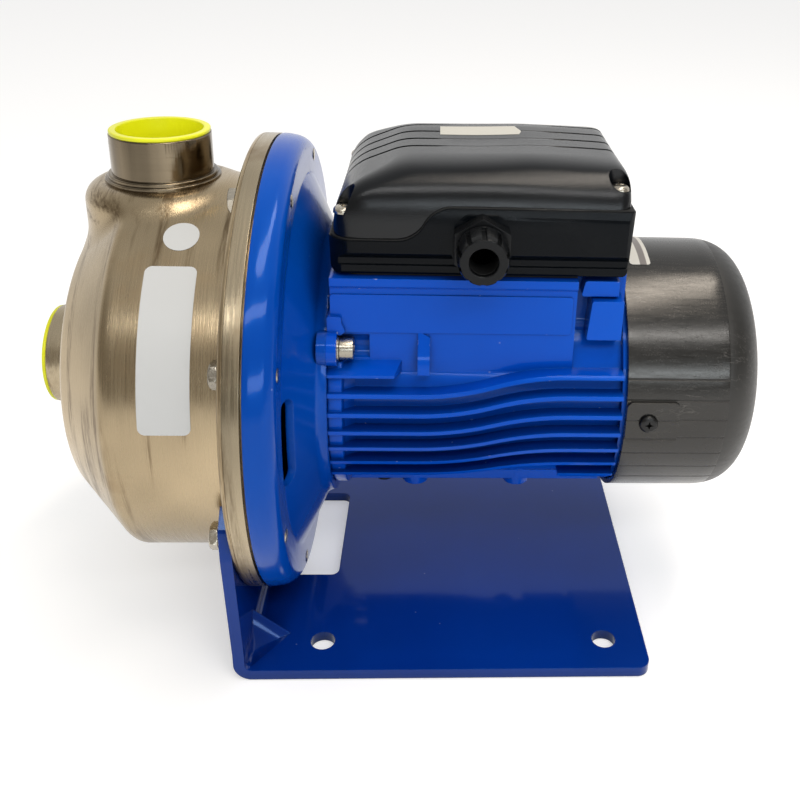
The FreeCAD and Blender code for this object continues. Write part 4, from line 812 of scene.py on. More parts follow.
def new_piece(
    name: str, mesh: bpy.types.Mesh, material: bpy.types.Material | None = None,
) -> bpy.types.Object:
    """Link a mesh as an object at the origin.

    Args:
        name: piece name.
        mesh: its mesh, already in the model's frame.
        material: finish for the whole piece, if it has only one.

    Returns:
        The object.
    """
    piece = bpy.data.objects.new(name, mesh)
    bpy.context.scene.collection.objects.link(piece)
    if material is not None:
        mesh.materials.clear()
        mesh.materials.append(material)
    return piece


def report(piece: bpy.types.Object) -> bpy.types.Object:
    """Log a finished piece and pass it on."""
    LOG.info("%s: %d faces", piece.name, len(piece.data.polygons))
    return piece


def smooth_by_angle(mesh: bpy.types.Mesh, degrees: float = 35.0) -> None:
    """Shade a mesh smooth and mark the edges sharper than an angle.

    Args:
        mesh: mesh to shade.
        degrees: angle from which an edge is sharp.
    """
    mesh.polygons.foreach_set("use_smooth", [True] * len(mesh.polygons))
    limit = math.radians(degrees)
    with edited(mesh) as made:
        for edge in made.edges:
            edge.smooth = len(edge.link_faces) == 2 and edge.calc_face_angle(0.0) < limit


def bake_modifiers(piece: bpy.types.Object) -> None:
    """Replace a piece's mesh by its evaluated one and drop its modifiers."""
    graph = bpy.context.evaluated_depsgraph_get()
    mesh = bpy.data.meshes.new_from_object(piece.evaluated_get(graph))
    piece.modifiers.clear()
    piece.data = mesh


def thicken(piece: bpy.types.Object, name: str, thickness: float) -> None:
    """Give a surface its thickness in millimetres, on its inner side.

    Args:
        piece: the surface.
        name: name of the modifier.
        thickness: millimetres.
    """
    solid = piece.modifiers.new(name, "SOLIDIFY")
    solid.thickness = thickness * MM
    solid.offset = -1.0
    bake_modifiers(piece)


def mesh_from_mm(name: str, points: np.ndarray, faces: Sequence[tuple[int, ...]]) -> bpy.types.Mesh:
    """Mesh in the model's frame from pump-frame points.

    Args:
        name: mesh name.
        points: rows of x, y, z in millimetres.
        faces: point numbers of each face.

    Returns:
        The mesh.
    """
    mesh = bpy.data.meshes.new(name)
    placed = (points + np.array([-BASE_CENTRE_X, 0.0, SHAFT_HEIGHT])) * MM
    mesh.from_pydata(placed.tolist(), [], [list(face) for face in faces])
    mesh.update()
    return mesh


def grid_faces(rows: int, columns: int, closed: bool = True) -> list[tuple[int, ...]]:
    """Quads between rows of points that are numbered row by row.

    Args:
        rows: number of rows.
        columns: points in each row.
        closed: whether a row's end meets its start.

    Returns:
        The quads.
    """
    return [
        (row * columns + k, row * columns + after, (row + 1) * columns + after, (row + 1) * columns + k)
        for row in range(rows - 1)
        for k, after in ((k, (k + 1) % columns) for k in range(columns if closed else columns - 1))
    ]


def rounded_profile(corners: Sequence[Point], step: float = 1.2) -> Outline:
    """Open outline through corners with arcs at the roundings, sampled evenly.

    Args:
        corners: (u, v, radius) corners.
        step: longest distance between samples.

    Returns:
        The sampled outline.
    """
    points: Outline = [corners[0][:2]]

    def straight(end: tuple[float, float]) -> None:
        """Add samples up to a point."""
        start = points[-1]
        count = max(1, math.ceil(math.dist(start, end) / step))
        for index in range(1, count + 1):
            share = index / count
            points.append((start[0] + (end[0] - start[0]) * share, start[1] + (end[1] - start[1]) * share))

    for before, corner, after in zip(corners, corners[1:], corners[2:]):
        here, radius = Vector(corner[:2]), corner[2]
        if radius <= 0:
            straight(tuple(here))
            continue
        back = (Vector(before[:2]) - here).normalized()
        ahead = (Vector(after[:2]) - here).normalized()
        half = back.angle(ahead) / 2
        start = here + back * radius / math.tan(half)
        end = here + ahead * radius / math.tan(half)
        centre = here + (back + ahead).normalized() * radius / math.sin(half)
        straight(tuple(start))
        sweep = math.pi - 2 * half
        pieces = max(4, math.ceil(sweep * radius / (step * 0.5)))
        first, last = start - centre, end - centre
        for index in range(1, pieces + 1):
            share = index / pieces
            turned = first * math.sin((1 - share) * sweep) + last * math.sin(share * sweep)
            points.append(tuple(centre + turned / math.sin(sweep)))
    straight(corners[-1][:2])
    return points


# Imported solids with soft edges


@dataclass
class CastSkin:
    """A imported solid's surface, merged and given soft edges that catch the light."""

    node: str
    body: Body
    slot: str
    finish: str
    edge: float = 0.4
    angle: float = 32.0
    segments: int = 2

    def build(self, frame: dict, palette: Palette) -> bpy.types.Object:
        """Make the dressed copy and let it stand for the node.

        Args:
            palette: the finishes.

        Returns:
            The piece.
        """
        mesh = frame["nodes"][self.node].data.copy()
        mesh.name = f"{self.node}_skin"
        with edited(mesh) as made:
            bmesh.ops.remove_doubles(made, verts=made.verts, dist=MERGE)
            bmesh.ops.dissolve_degenerate(made, edges=made.edges, dist=MERGE / 2)
            flat = math.radians(0.6)
            bmesh.ops.dissolve_limit(made, angle_limit=flat, verts=made.verts, edges=made.edges)
        smooth_by_angle(mesh, self.angle)
        piece = new_piece(f"{self.node}_skin", mesh, palette[self.finish])
        self.reshape(piece)
        if self.edge:
            self.soften(piece)
        self.dress(piece)
        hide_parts(self.node)
        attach(piece, self.body.value)
        return report(piece)

    def soften(self, piece: bpy.types.Object) -> None:
        """Round the sharp edges.

        Args:
            piece: the merged copy.
        """
        bevel = piece.modifiers.new("soft_edges", "BEVEL")
        bevel.width = self.edge * MM
        bevel.segments = self.segments
        bevel.limit_method = "ANGLE"
        bevel.angle_limit = math.radians(self.angle)
        bevel.use_clamp_overlap = True
        bevel.harden_normals = True
        bake_modifiers(piece)

    def reshape(self, piece: bpy.types.Object) -> None:
        """Change the copy before its edges are softened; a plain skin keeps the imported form."""

    def dress(self, piece: bpy.types.Object) -> None:
        """Change the copy after its edges are softened; a plain skin is left as it is."""


@dataclass
class HollowSkin(CastSkin):
    """The bent bracket, with its two corner darts pressed in to smooth hollows."""

    facing: Point = (0.579, 0.413, 0.703)
    facing_error: float = 0.02
    least_area: float = 1.2e-4
    rings: int = 14
    hollow: float = 4.4
    longest: float = 3.0

    def dress(self, piece: bpy.types.Object) -> None:
        """Divide the upper face of each dart and press its middle in.

        Args:
            piece: the softened bracket.
        """
        with edited(piece.data) as made:
            darts = [face for face in made.faces if self.is_dart(face)]
            for face in darts:
                self.press(made, face)
        kept = piece.data.attributes.get("custom_normal")
        if kept:
            piece.data.attributes.remove(kept)
        smooth_by_angle(piece.data, self.angle)
        even = piece.modifiers.new("even_normals", "WEIGHTED_NORMAL")
        even.keep_sharp = True
        bake_modifiers(piece)
        LOG.info("%s: %d hollows", piece.name, len(darts))

    def is_dart(self, face: bmesh.types.BMFace) -> bool:
        """Whether a face is the upper face of a dart on either side."""
        normal = face.normal
        errors = [abs(abs(part) - wanted) for part, wanted in zip(normal, self.facing)]
        return face.calc_area() > self.least_area and max(errors) < self.facing_error and normal.x > 0

    def press(self, made: bmesh.types.BMesh, face: bmesh.types.BMFace) -> None:
        """Turn one flat face into a shallow dish that keeps its border.

        Args:
            made: mesh that holds the face.
            face: the face, which is replaced.
        """
        longest = self.longest * MM
        while any(edge.calc_length() > longest for edge in face.edges):
            for edge in [item for item in face.edges if item.calc_length() > longest]:
                bmesh.utils.edge_split(edge, edge.verts[0], 0.5)
        rim = list(face.verts)
        centre = face.calc_center_median()
        inward = -face.normal * self.hollow * MM
        material = face.material_index
        bmesh.ops.delete(made, geom=[face], context="FACES_ONLY")
        outer = rim
        for step in range(1, self.rings):
            share = step / self.rings
            sunk = inward * (1 - (1 - share) ** 2)
            ring = [made.verts.new(vert.co.lerp(centre, share) + sunk) for vert in rim]
            for k in range(len(rim)):
                made.faces.new((outer[k - 1], outer[k], ring[k], ring[k - 1])).material_index = material
            outer = ring
        made.faces.new(outer).material_index = material


@dataclass
class PillowSkin(CastSkin):
    """The box lid, its three crossing outlines melted into one pillow with soft corners."""

    front_x: float = 28.0
    back_x: float = 154.0
    half_width: float = 51.0
    top_z: float = 110.2
    foot_z: float = 50.0
    centre: Point = (92.0, 0.0, 84.0)
    melt: float = 9.0
    clearance: float = 0.10
    around: int = 320
    rows: int = 130
    lowest: float = -32.0
    highest: float = 89.7
    far: float = 400.0

    def outlines(self) -> list[tuple[tuple[int, int], list[Point]]]:
        """The lid's side view, end view and plan, each with the two axes that it lies in."""
        half, top, foot, front, back = self.half_width, self.top_z, self.foot_z, self.front_x, self.back_x
        side = [
            (front + 1.4, foot, 0.0), (back - 2.6, foot, 0.0), (back, 96.0, 6.0),
            (back - 0.5, top - 3.0, 8.0), (112.0, top, 60.0), (58.0, top - 2.6, 34.0),
            (front - 0.5, 95.5, 24.0), (front + 1.4, foot, 0.0),
        ]
        end = [
            (-half + 0.5, foot, 0.0), (half - 0.5, foot, 0.0), (half + 0.8, top + 0.5, 27.0),
            (-half - 0.8, top + 0.5, 27.0), (-half + 0.5, foot, 0.0),
        ]
        front, back, half = front - 1.0, back + 1.0, half + 1.0
        plan = [
            (90.0, -half, 0.0), (back, -half, 8.0), (back, half, 8.0), (front, half, 15.0),
            (front, -half, 15.0), (90.0, -half, 0.0),
        ]
        return [((0, 2), side), ((1, 2), end), ((0, 1), plan)]

    def reach(self, directions: np.ndarray) -> np.ndarray:
        """Distance from the centre to the pillow's surface along each direction.

        Args:
            directions: unit vectors, one to a row.

        Returns:
            The distances in millimetres.
        """
        distances = []
        for axes, corners in self.outlines():
            line = np.array(rounded_profile(corners, 0.8)) - np.array([self.centre[axis] for axis in axes])
            angles = np.arctan2(line[:, 1], line[:, 0])
            order = np.argsort(angles)
            flat = directions[:, axes]
            wanted = np.arctan2(flat[:, 1], flat[:, 0])
            radius = np.interp(wanted, angles[order], np.hypot(*line.T)[order], period=2 * math.pi)
            distances.append(radius / np.maximum(np.hypot(flat[:, 0], flat[:, 1]), 1e-4))
        result = np.minimum(distances[0], self.far)
        for other in distances[1:]:
            gap = np.maximum(self.melt - np.abs(result - other), 0.0) / self.melt
            result = np.minimum(result, other) - gap * gap * self.melt / 4
        return result - self.clearance

    def pillow(self) -> bpy.types.Object:
        """Closed mesh of the pillow."""
        heights = np.linspace(math.radians(self.lowest), math.radians(self.highest), self.rows)
        turns = np.linspace(0, 2 * math.pi, self.around, endpoint=False)
        rise, turn = np.meshgrid(heights, turns, indexing="ij")
        directions = np.stack([
            np.cos(rise) * np.cos(turn), np.cos(rise) * np.sin(turn), np.sin(rise)], -1).reshape(-1, 3)
        points = np.array(self.centre) + directions * self.reach(directions)[:, None]
        faces = grid_faces(self.rows, self.around)
        faces.append(tuple(range(self.around))[::-1])
        faces.append(tuple((self.rows - 1) * self.around + k for k in range(self.around)))
        return new_piece(f"{self.node}_pillow", mesh_from_mm(f"{self.node}_pillow", points, faces))

    def reshape(self, piece: bpy.types.Object) -> None:
        """Trim the copy to the pillow, which lies just inside its sharp form.

        Args:
            piece: the merged copy.
        """
        pillow = self.pillow()
        trim = piece.modifiers.new("trim", "BOOLEAN")
        trim.operation, trim.solver, trim.object = "INTERSECT", "EXACT", pillow
        bake_modifiers(piece)
        bpy.data.objects.remove(pillow)
        smooth_by_angle(piece.data, self.angle)


# Fasteners


def instancing_tree() -> bpy.types.NodeTree:
    """Geometry Nodes that set one fastener on every point, turned alike and then spun by index.

    Returns:
        The tree, with inputs Fastener, Turn, Spin Step and Finish.
    """
    group = bpy.data.node_groups.new("seated_fasteners", "GeometryNodeTree")
    for label, kind in (("Points", "Geometry"), ("Fastener", "Object"), ("Turn", "Vector"),
                        ("Spin Step", "Float"), ("Finish", "Material")):
        group.interface.new_socket(label, in_out="INPUT", socket_type=f"NodeSocket{kind}")
    group.interface.new_socket("Fasteners", in_out="OUTPUT", socket_type="NodeSocketGeometry")
    tree = Tree(group)
    given = {socket.name: Field(tree, socket) for socket in tree.node("NodeGroupInput").outputs}
    shape = tree.out("GeometryNodeObjectInfo", pick="Geometry", Object=given["Fastener"])
    spin = tree.out("GeometryNodeInputIndex") * given["Spin Step"]
    spun = tree.out("FunctionNodeEulerToRotation", tree.out("ShaderNodeCombineXYZ", spin))
    turned = tree.out("FunctionNodeEulerToRotation", given["Turn"])
    both = tree.out("FunctionNodeRotateRotation", turned, spun, settings={"rotation_space": "LOCAL"})
    seated = tree.out("GeometryNodeInstanceOnPoints", Points=given["Points"], Instance=shape, Rotation=both)
    real = tree.out("GeometryNodeRealizeInstances", seated)
    return tree.close(tree.out("GeometryNodeSetMaterial", Geometry=real, Material=given["Finish"]))


def loft(made: bmesh.types.BMesh, stations: Iterable[tuple[float, object]], sides: int) -> None:
    """Skin rings of vertices round the X axis.

    Args:
        made: mesh to add to.
        stations: place along X with one radius, or one for each side; 0 makes a single middle vertex.
        sides: facets round the axis.
    """
    angles = [2 * math.pi * k / sides for k in range(sides)]
    first: list[bmesh.types.BMVert] = []
    for x, radii in stations:
        if isinstance(radii, float):
            radii = [radii] * (sides if radii else 1)
        second = [made.verts.new((x, r * math.cos(a), r * math.sin(a))) for r, a in zip(radii, angles)]
        for k in range(sides if first else 0):
            after = (k + 1) % sides
            corners = [first[k % len(first)], first[after % len(first)],
                       second[after % len(second)], second[k % len(second)]]
            made.faces.new(list(dict.fromkeys(corners)))
        first = second


class Drive(Enum):
    """Shape that a tool turns a fastener by."""

    HEXAGON = "hexagon"
    SOCKET = "socket"
    CROSS = "cross"


@dataclass
class Fastener:
    """One detailed screw along +X with its bearing face at the origin, in millimetres."""

    drive: Drive
    head_r: float
    head: float
    shank_r: float
    shank: float
    pitch: float = 1.0
    plain: float = 2.0
    tip: float = 0.3
    thread: float = 0.55
    washer: float = 0.4
    sides: int = 48
    pan_sides: int = 32
    shank_sides: int = 18

    def build(self, name: str) -> bpy.types.Object:
        """Mesh the head and the threaded shank as one closed object that stays out of the scene.

        Args:
            name: name of the mesh and the object.

        Returns:
            The object.
        """
        mesh = bpy.data.meshes.new(name)
        with edited(mesh) as made:
            loft(made, self.shank_profile(), self.shank_sides)
            if self.drive is Drive.HEXAGON:
                self.hexagon_head(made)
            elif self.drive is Drive.SOCKET:
                self.cap_head(made)
            else:
                self.pan_head(made)
            bmesh.ops.remove_doubles(made, verts=made.verts, dist=1e-5)
            bmesh.ops.recalc_face_normals(made, faces=made.faces)
        mesh.transform(Matrix.Diagonal((MM, MM, MM, 1.0)))
        smooth_by_angle(mesh, SMALL_CREASE)
        return bpy.data.objects.new(name, mesh)

    def shank_profile(self) -> Outline:
        """Threaded rod with a chamfered tip; the crests are rings, close enough at this size."""
        profile = [(0.0, 0.0), (0.0, self.shank_r), (min(self.plain, self.shank), self.shank_r)]
        x = self.plain
        root = self.shank_r - self.thread * self.pitch
        while x + self.pitch < self.shank - self.tip:
            profile += [(x + self.pitch * 0.5, root), (x + self.pitch, self.shank_r)]
            x += self.pitch
        end = self.shank
        return profile + [(end - self.tip, self.shank_r * 0.93), (end, self.shank_r * 0.78), (end, 0.0)]

    def hexagon(self, flat: float) -> list[float]:
        """Distance from the axis to a hexagon at each facet, for its distance to the flats."""
        turn, sixth = 2 * math.pi / self.sides, math.pi / 3
        return [flat / math.cos((k * turn) % sixth - sixth / 2) for k in range(self.sides)]

    def cap_head(self, made: bmesh.types.BMesh) -> None:
        """Cylindrical head with a hexagon socket below a chamfer ring.

        Args:
            made: mesh to add to.
        """
        r, h, key = self.head_r, self.head, self.head_r * 0.5
        mouth, wall, floor = key * 1.22, [a * 0.95 for a in self.hexagon(key)], -h + h * 0.5
        loft(made, [
            (0.0, 0.0), (0.0, r - 0.3), (-0.3, r), (-h + 0.5, r), (-h + 0.12, r - 0.14), (-h, r - 0.5),
            (-h, mouth), (-h + 0.35, key * 1.1), (-h + 0.36, wall), (floor, wall), (floor + 0.6, 0.0),
        ], self.sides)

    def pan_head(self, made: bmesh.types.BMesh) -> None:
        """Domed head with a cross recess inside its top ring.

        Args:
            made: mesh to add to.
        """
        r, h, sides = self.head_r, self.head, self.pan_sides
        dome = [(-h * math.sin(a) ** 0.8, r * math.cos(a) ** 0.55) for a in (0.25, 0.5, 0.75, 1.0, 1.2)]
        x, radius = dome[-1]
        arm, wide = radius * 0.86, radius * 0.24
        shape = []
        for k in range(sides):
            off = (2 * math.pi * k / sides + math.pi / 4) % (math.pi / 2) - math.pi / 4
            rise = abs(math.sin(off))
            reach = min(arm, wide / max(rise, 1e-3)) if rise * arm > wide else arm
            shape.append(min(reach, wide * 1.6 + (arm - wide * 1.6) * max(0.0, 1 - abs(off) / 0.32)))
        low = [0.6 * reach for reach in shape]
        cross = [(x - 0.05, shape), (x + h * 0.4, low), (x + h * 0.6, 0.0)]
        loft(made, [(0.0, 0.0), (0.0, r), *dome, *cross], sides)

    def hexagon_head(self, made: bmesh.types.BMesh) -> None:
        """Hexagon head with a washer face and turned-off corners.

        Args:
            made: mesh to add to.
        """
        flat, washer, h = self.head_r, self.washer, self.head
        corner, shape = flat / math.cos(math.pi / 6), self.hexagon(flat)

        def cut(x: float, least: float, drop: float) -> tuple[float, list[float]]:
            """Hexagon ring held within a circle, from the least one at 0 to the corners at 1."""
            limit = flat * least + (corner - flat * least) * drop
            return x, [min(radius, limit) for radius in shape]

        under = [cut(-washer - drop * 0.7, 1.06, drop) for drop in (0.0, 0.25, 0.6, 1.0)]
        over = [cut(-h + drop * 0.9, 0.96, drop) for drop in (1.0, 0.6, 0.3)]
        face, dished = [(0.0, 0.0), (0.0, flat * 0.96), (-washer + 0.05, flat * 0.96)], -h + 0.15
        top = [(-h, flat * 0.92), (dished, flat * 0.55), (dished, 0.0)]
        loft(made, face + under + over + top, self.sides)


@dataclass
class FastenerSet:
    """Equal fasteners seated at known places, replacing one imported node."""

    node: str
    body: Body
    shape: Fastener
    places: Sequence[Point]
    turn: Point = (0.0, 0.0, 0.0)
    finish: str = "fastener_steel"
    slot: str = "stainless_small"
    spin: float = 0.7
    both_sides: bool = False

    def build(self, tree: bpy.types.NodeTree, palette: Palette) -> bpy.types.Object:
        """Seat the fasteners with the shared tree and keep the plain result.

        Args:
            tree: the seated_fasteners tree.
            palette: the finishes.

        Returns:
            The piece.
        """
        mesh = bpy.data.meshes.new(f"{self.node}_points")
        mesh.from_pydata([at(*place) for place in self.places], [], [])
        piece = new_piece(f"{self.node}_detail", mesh)
        source = self.shape.build(f"{self.node}_master")
        modifier = piece.modifiers.new("seat", "NODES")
        modifier.node_group = tree
        steel = palette[self.finish]
        values = {"Fastener": source, "Turn": self.turn, "Spin Step": self.spin, "Finish": steel}
        for item in tree.interface.items_tree:
            if item.in_out == "INPUT" and item.name in values:
                modifier[item.identifier] = values[item.name]
        bake_modifiers(piece)
        bpy.data.objects.remove(source)
        if self.both_sides:
            self.add_other_side(piece.data)
        smooth_by_angle(piece.data, SMALL_CREASE)
        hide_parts(self.node)
        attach(piece, self.body.value)
        return report(piece)

    def add_other_side(self, mesh: bpy.types.Mesh) -> None:
        """Add the mirror image across the shaft's upright plane.

        Args:
            mesh: mesh of the near side.
        """
        with edited(mesh) as made:
            whole = made.verts[:] + made.edges[:] + made.faces[:]
            copy = bmesh.ops.duplicate(made, geom=whole)["geom"]
            verts = [item for item in copy if isinstance(item, bmesh.types.BMVert)]
            faces = [item for item in copy if isinstance(item, bmesh.types.BMFace)]
            bmesh.ops.scale(made, vec=(1.0, -1.0, 1.0), verts=verts)
            bmesh.ops.reverse_faces(made, faces=faces)


# Pieces made here


@dataclass
class Casing:
    """Pressed stainless drum whose raised outlet seat flows into the wall."""

    joint_r: float = 106.0
    drum_r: float = 87.2
    lip_front: float = -8.5
    lip_back: float = -6.5
    lip_round: float = 1.7
    neck_round: float = 1.6
    shoulder: Point = (-57.2, 87.2, 6.0)
    cone: Point = (-81.9, 61.6, 8.0)
    nose: Point = (-92.0, 27.0, 4.0)
    eye_r: float = 22.95
    port_x: float = -48.4
    port_r: float = 21.65
    seat_r: float = 33.5
    seat_top: float = 88.0
    seat_round: float = 8.0
    blend: float = 5.0
    wall: float = 1.8
    sample: float = 1.3
    top_turns: tuple[float, float] = (40.0, 140.0)
    fine_turn: float = 1.0
    coarse_turn: float = 2.5
    lifted_half_y: float = 55.0
    lifted_from_z: float = 30.0
    marches: int = 40
    stride: float = 0.7

    def outside(self, points: np.ndarray, base: np.ndarray) -> np.ndarray:
        """Signed distance to the drum and outlet seat joined softly.

        Args:
            points: pump-frame points.
            base: their distance outside the plain drum surface.

        Returns:
            The distance, negative inside.
        """
        flat = np.hypot(points[:, 0] - self.port_x, points[:, 1])
        out = flat - (self.seat_r - self.seat_round)
        up = points[:, 2] - (self.seat_top - self.seat_round)
        beyond = np.hypot(np.maximum(out, 0), np.maximum(up, 0))
        seat = beyond + np.minimum(np.maximum(out, up), 0) - self.seat_round
        h = np.clip(0.5 + 0.5 * (seat - base) / self.blend, 0, 1)
        return seat * (1 - h) + base * h - self.blend * h * (1 - h)

    def surface(self) -> tuple[np.ndarray, int]:
        """Outer skin: each point of the plain drum marches outwards until it meets the joined surface.

        Returns:
            The points, profile by angle, and how many of them lie round the shaft.
        """
        profile = np.array(rounded_profile([
            (self.lip_back, self.joint_r, 0.0), (self.lip_front, self.joint_r, self.lip_round),
            (self.lip_front, self.drum_r, self.neck_round), self.shoulder, self.cone, self.nose,
            (self.nose[0], self.eye_r, 0.0),
        ], self.sample))
        first, last = self.top_turns
        fine = np.arange(first, last, self.fine_turn)
        coarse = np.arange(last, first + 360.0, self.coarse_turn)
        angles = np.radians(np.concatenate([fine, coarse]))
        tangent = np.gradient(profile, axis=0)
        tangent /= np.maximum(np.linalg.norm(tangent, axis=1, keepdims=True), 1e-9)

        def spun(along: np.ndarray, outwards: np.ndarray) -> np.ndarray:
            """Turn pairs of one profile about the shaft, from -Y up over the top."""
            x = np.repeat(along, len(angles))
            y, z = -np.outer(outwards, np.cos(angles)).ravel(), np.outer(outwards, np.sin(angles)).ravel()
            return np.stack([x, y, z], 1)

        points = spun(profile[:, 0], profile[:, 1])
        direction = spun(tangent[:, 1], -tangent[:, 0])
        lift = np.zeros(len(points))
        near = (points[:, 2] > self.lifted_from_z) & (np.abs(points[:, 1]) < self.lifted_half_y)
        near &= points[:, 0] < self.lip_front - 2
        for _ in range(self.marches):
            spot = points[near] + direction[near] * lift[near][:, None]
            lift[near] -= self.stride * self.outside(spot, lift[near])
        return points + direction * np.maximum(lift, 0)[:, None], len(angles)

    def build(self, palette: Palette) -> bpy.types.Object:
        """Mesh the outer skin, open its outlet and thicken it.

        Args:
            palette: the finishes.

        Returns:
            The piece.
        """
        points, count = self.surface()
        mesh = mesh_from_mm("pump_casing_shell", points, grid_faces(len(points) // count, count))
        port = at(self.port_x, 0.0, 60.0)
        with edited(mesh) as made:
            hole = [v for v in made.verts if v.co.z > port.z
                    and math.hypot(v.co.x - port.x, v.co.y) < self.port_r * MM]
            bmesh.ops.delete(made, geom=hole, context="VERTS")
            bmesh.ops.recalc_face_normals(made, faces=made.faces)
        mesh.polygons.foreach_set("use_smooth", [True] * len(mesh.polygons))
        piece = new_piece("pump_casing_shell", mesh, palette["casing_steel"])
        thicken(piece, "sheet", self.wall)
        smooth_by_angle(piece.data, SHEET_CREASE)
        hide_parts("pump_casing")
        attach(piece, Body.UNIT.value)
        return report(piece)


@dataclass
class Sticker:
    """Thin blank sticker laid on a surface of revolution about the shaft axis."""

    name: str
    finish: str
    radius: float
    x: tuple[float, float]
    degrees: tuple[float, float]
    corner: float = 2.0
    thickness: float = 0.12
    clearance: float = 0.04
    round: bool = False
    columns: int = 14
    step: float = 0.9

    def half_width(self, along: float, half_x: float, half_s: float, corner: float) -> float:
        """Half the sticker's width at a place along it.

        Args:
            along: distance from the sticker's middle.
            half_x: half its width.
            half_s: half its length.
            corner: its corner radius.

        Returns:
            The half width.
        """
        beyond = abs(along) - (half_s - corner)
        if beyond <= 0:
            return half_x
        return half_x - corner + math.sqrt(max(0.0, corner ** 2 - beyond ** 2))

    def layer(self, made: bmesh.types.BMesh, lift: float) -> list[bmesh.types.BMVert]:
        """Add one face of the sticker, lifted off the surface.

        Args:
            made: mesh to add to.
            lift: height above the surface.

        Returns:
            The vertices round the layer, in order.
        """
        half_x = abs(self.x[1] - self.x[0]) / 2
        half_s = math.radians(abs(self.degrees[1] - self.degrees[0]) / 2) * self.radius
        corner = min(half_x, half_s) if self.round else self.corner
        count = math.ceil(2 * half_s / self.step)
        rows = []
        for row in range(count + 1):
            along = -half_s * math.cos(math.pi * row / count)
            wide = self.half_width(along, half_x, half_s, corner)
            angle = math.radians(sum(self.degrees) / 2) + along / self.radius
            y, z = -(self.radius + lift) * math.cos(angle), (self.radius + lift) * math.sin(angle)
            places = [sum(self.x) / 2 + wide * (2 * k / self.columns - 1) for k in range(self.columns + 1)]
            rows.append([made.verts.new(at(x, y, z)) for x in places])
        for first, second in zip(rows, rows[1:]):
            for k in range(self.columns):
                made.faces.new((first[k], first[k + 1], second[k + 1], second[k]))
        down = [row[-1] for row in rows[1:-1]]
        up = [row[0] for row in reversed(rows[1:-1])]
        return rows[0] + down + rows[-1][::-1] + up

    def build(self, palette: Palette) -> bpy.types.Object:
        """Mesh the sticker as a curved plate with rounded corners.

        Args:
            palette: the finishes.

        Returns:
            The piece.
        """
        mesh = bpy.data.meshes.new(self.name)
        with edited(mesh) as made:
            inner, outer = self.layer(made, self.clearance), self.layer(made, self.thickness)
            for k in range(len(inner)):
                made.faces.new((inner[k - 1], inner[k], outer[k], outer[k - 1]))
            bmesh.ops.remove_doubles(made, verts=made.verts, dist=MERGE)
            bmesh.ops.recalc_face_normals(made, faces=made.faces)
        smooth_by_angle(mesh, SHEET_CREASE)
        piece = new_piece(self.name, mesh, palette[self.finish])
        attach(piece, Body.UNIT.value)
        return report(piece)


@dataclass
class LidPaper:
    """Blank paper strip stuck on top of the box lid, with one torn corner."""

    x: tuple[float, float] = (73.6, 110.8)
    y: tuple[float, float] = (10.2, 24.6)
    torn: float = 4.0
    torn_at: float = 0.35
    lift: float = 0.12
    thickness: float = 0.08
    columns: int = 30
    rows: int = 10

    def build(self, lid: bpy.types.Object, palette: Palette) -> bpy.types.Object:
        """Drape the strip over the lid.

        Args:
            lid: the dressed lid.
            palette: the finishes.

        Returns:
            The piece.
        """
        mesh = lid.data
        ground = BVHTree.FromPolygons([v.co for v in mesh.vertices], [p.vertices[:] for p in mesh.polygons])
        down, above = Vector((0.0, 0.0, -1.0)), 160.0
        points = []
        for row in range(self.rows + 1):
            share = row / self.rows
            y = self.y[0] + (self.y[1] - self.y[0]) * share
            last = self.x[1] - self.torn * abs(share - self.torn_at)
            for column in range(self.columns + 1):
                x = self.x[0] + (last - self.x[0]) * column / self.columns
                hit = ground.ray_cast(at(x, y, above), down)[0]
                points.append((x, y, hit.z / MM - SHAFT_HEIGHT + self.lift))
        faces = grid_faces(self.rows + 1, self.columns + 1, closed=False)
        mesh = mesh_from_mm("lid_paper", np.array(points), faces)
        piece = new_piece("lid_paper", mesh, palette["sticker_cover_plain"])
        thicken(piece, "thickness", self.thickness)
        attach(piece, Body.LID.value)
        return report(piece)


# Sub-assemblies


@dataclass
class SubAssembly:
    """What every sub-assembly is dressed from."""

    frame: dict
    palette: Palette
    tree: bpy.types.NodeTree

    def dress(self, *skins: CastSkin) -> None:
        """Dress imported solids, in order."""
        for skin in skins:
            skin.build(self.frame, self.palette)

    def seat(self, fasteners: FastenerSet) -> None:
        """Seat one set of fasteners."""
        fasteners.build(self.tree, self.palette)


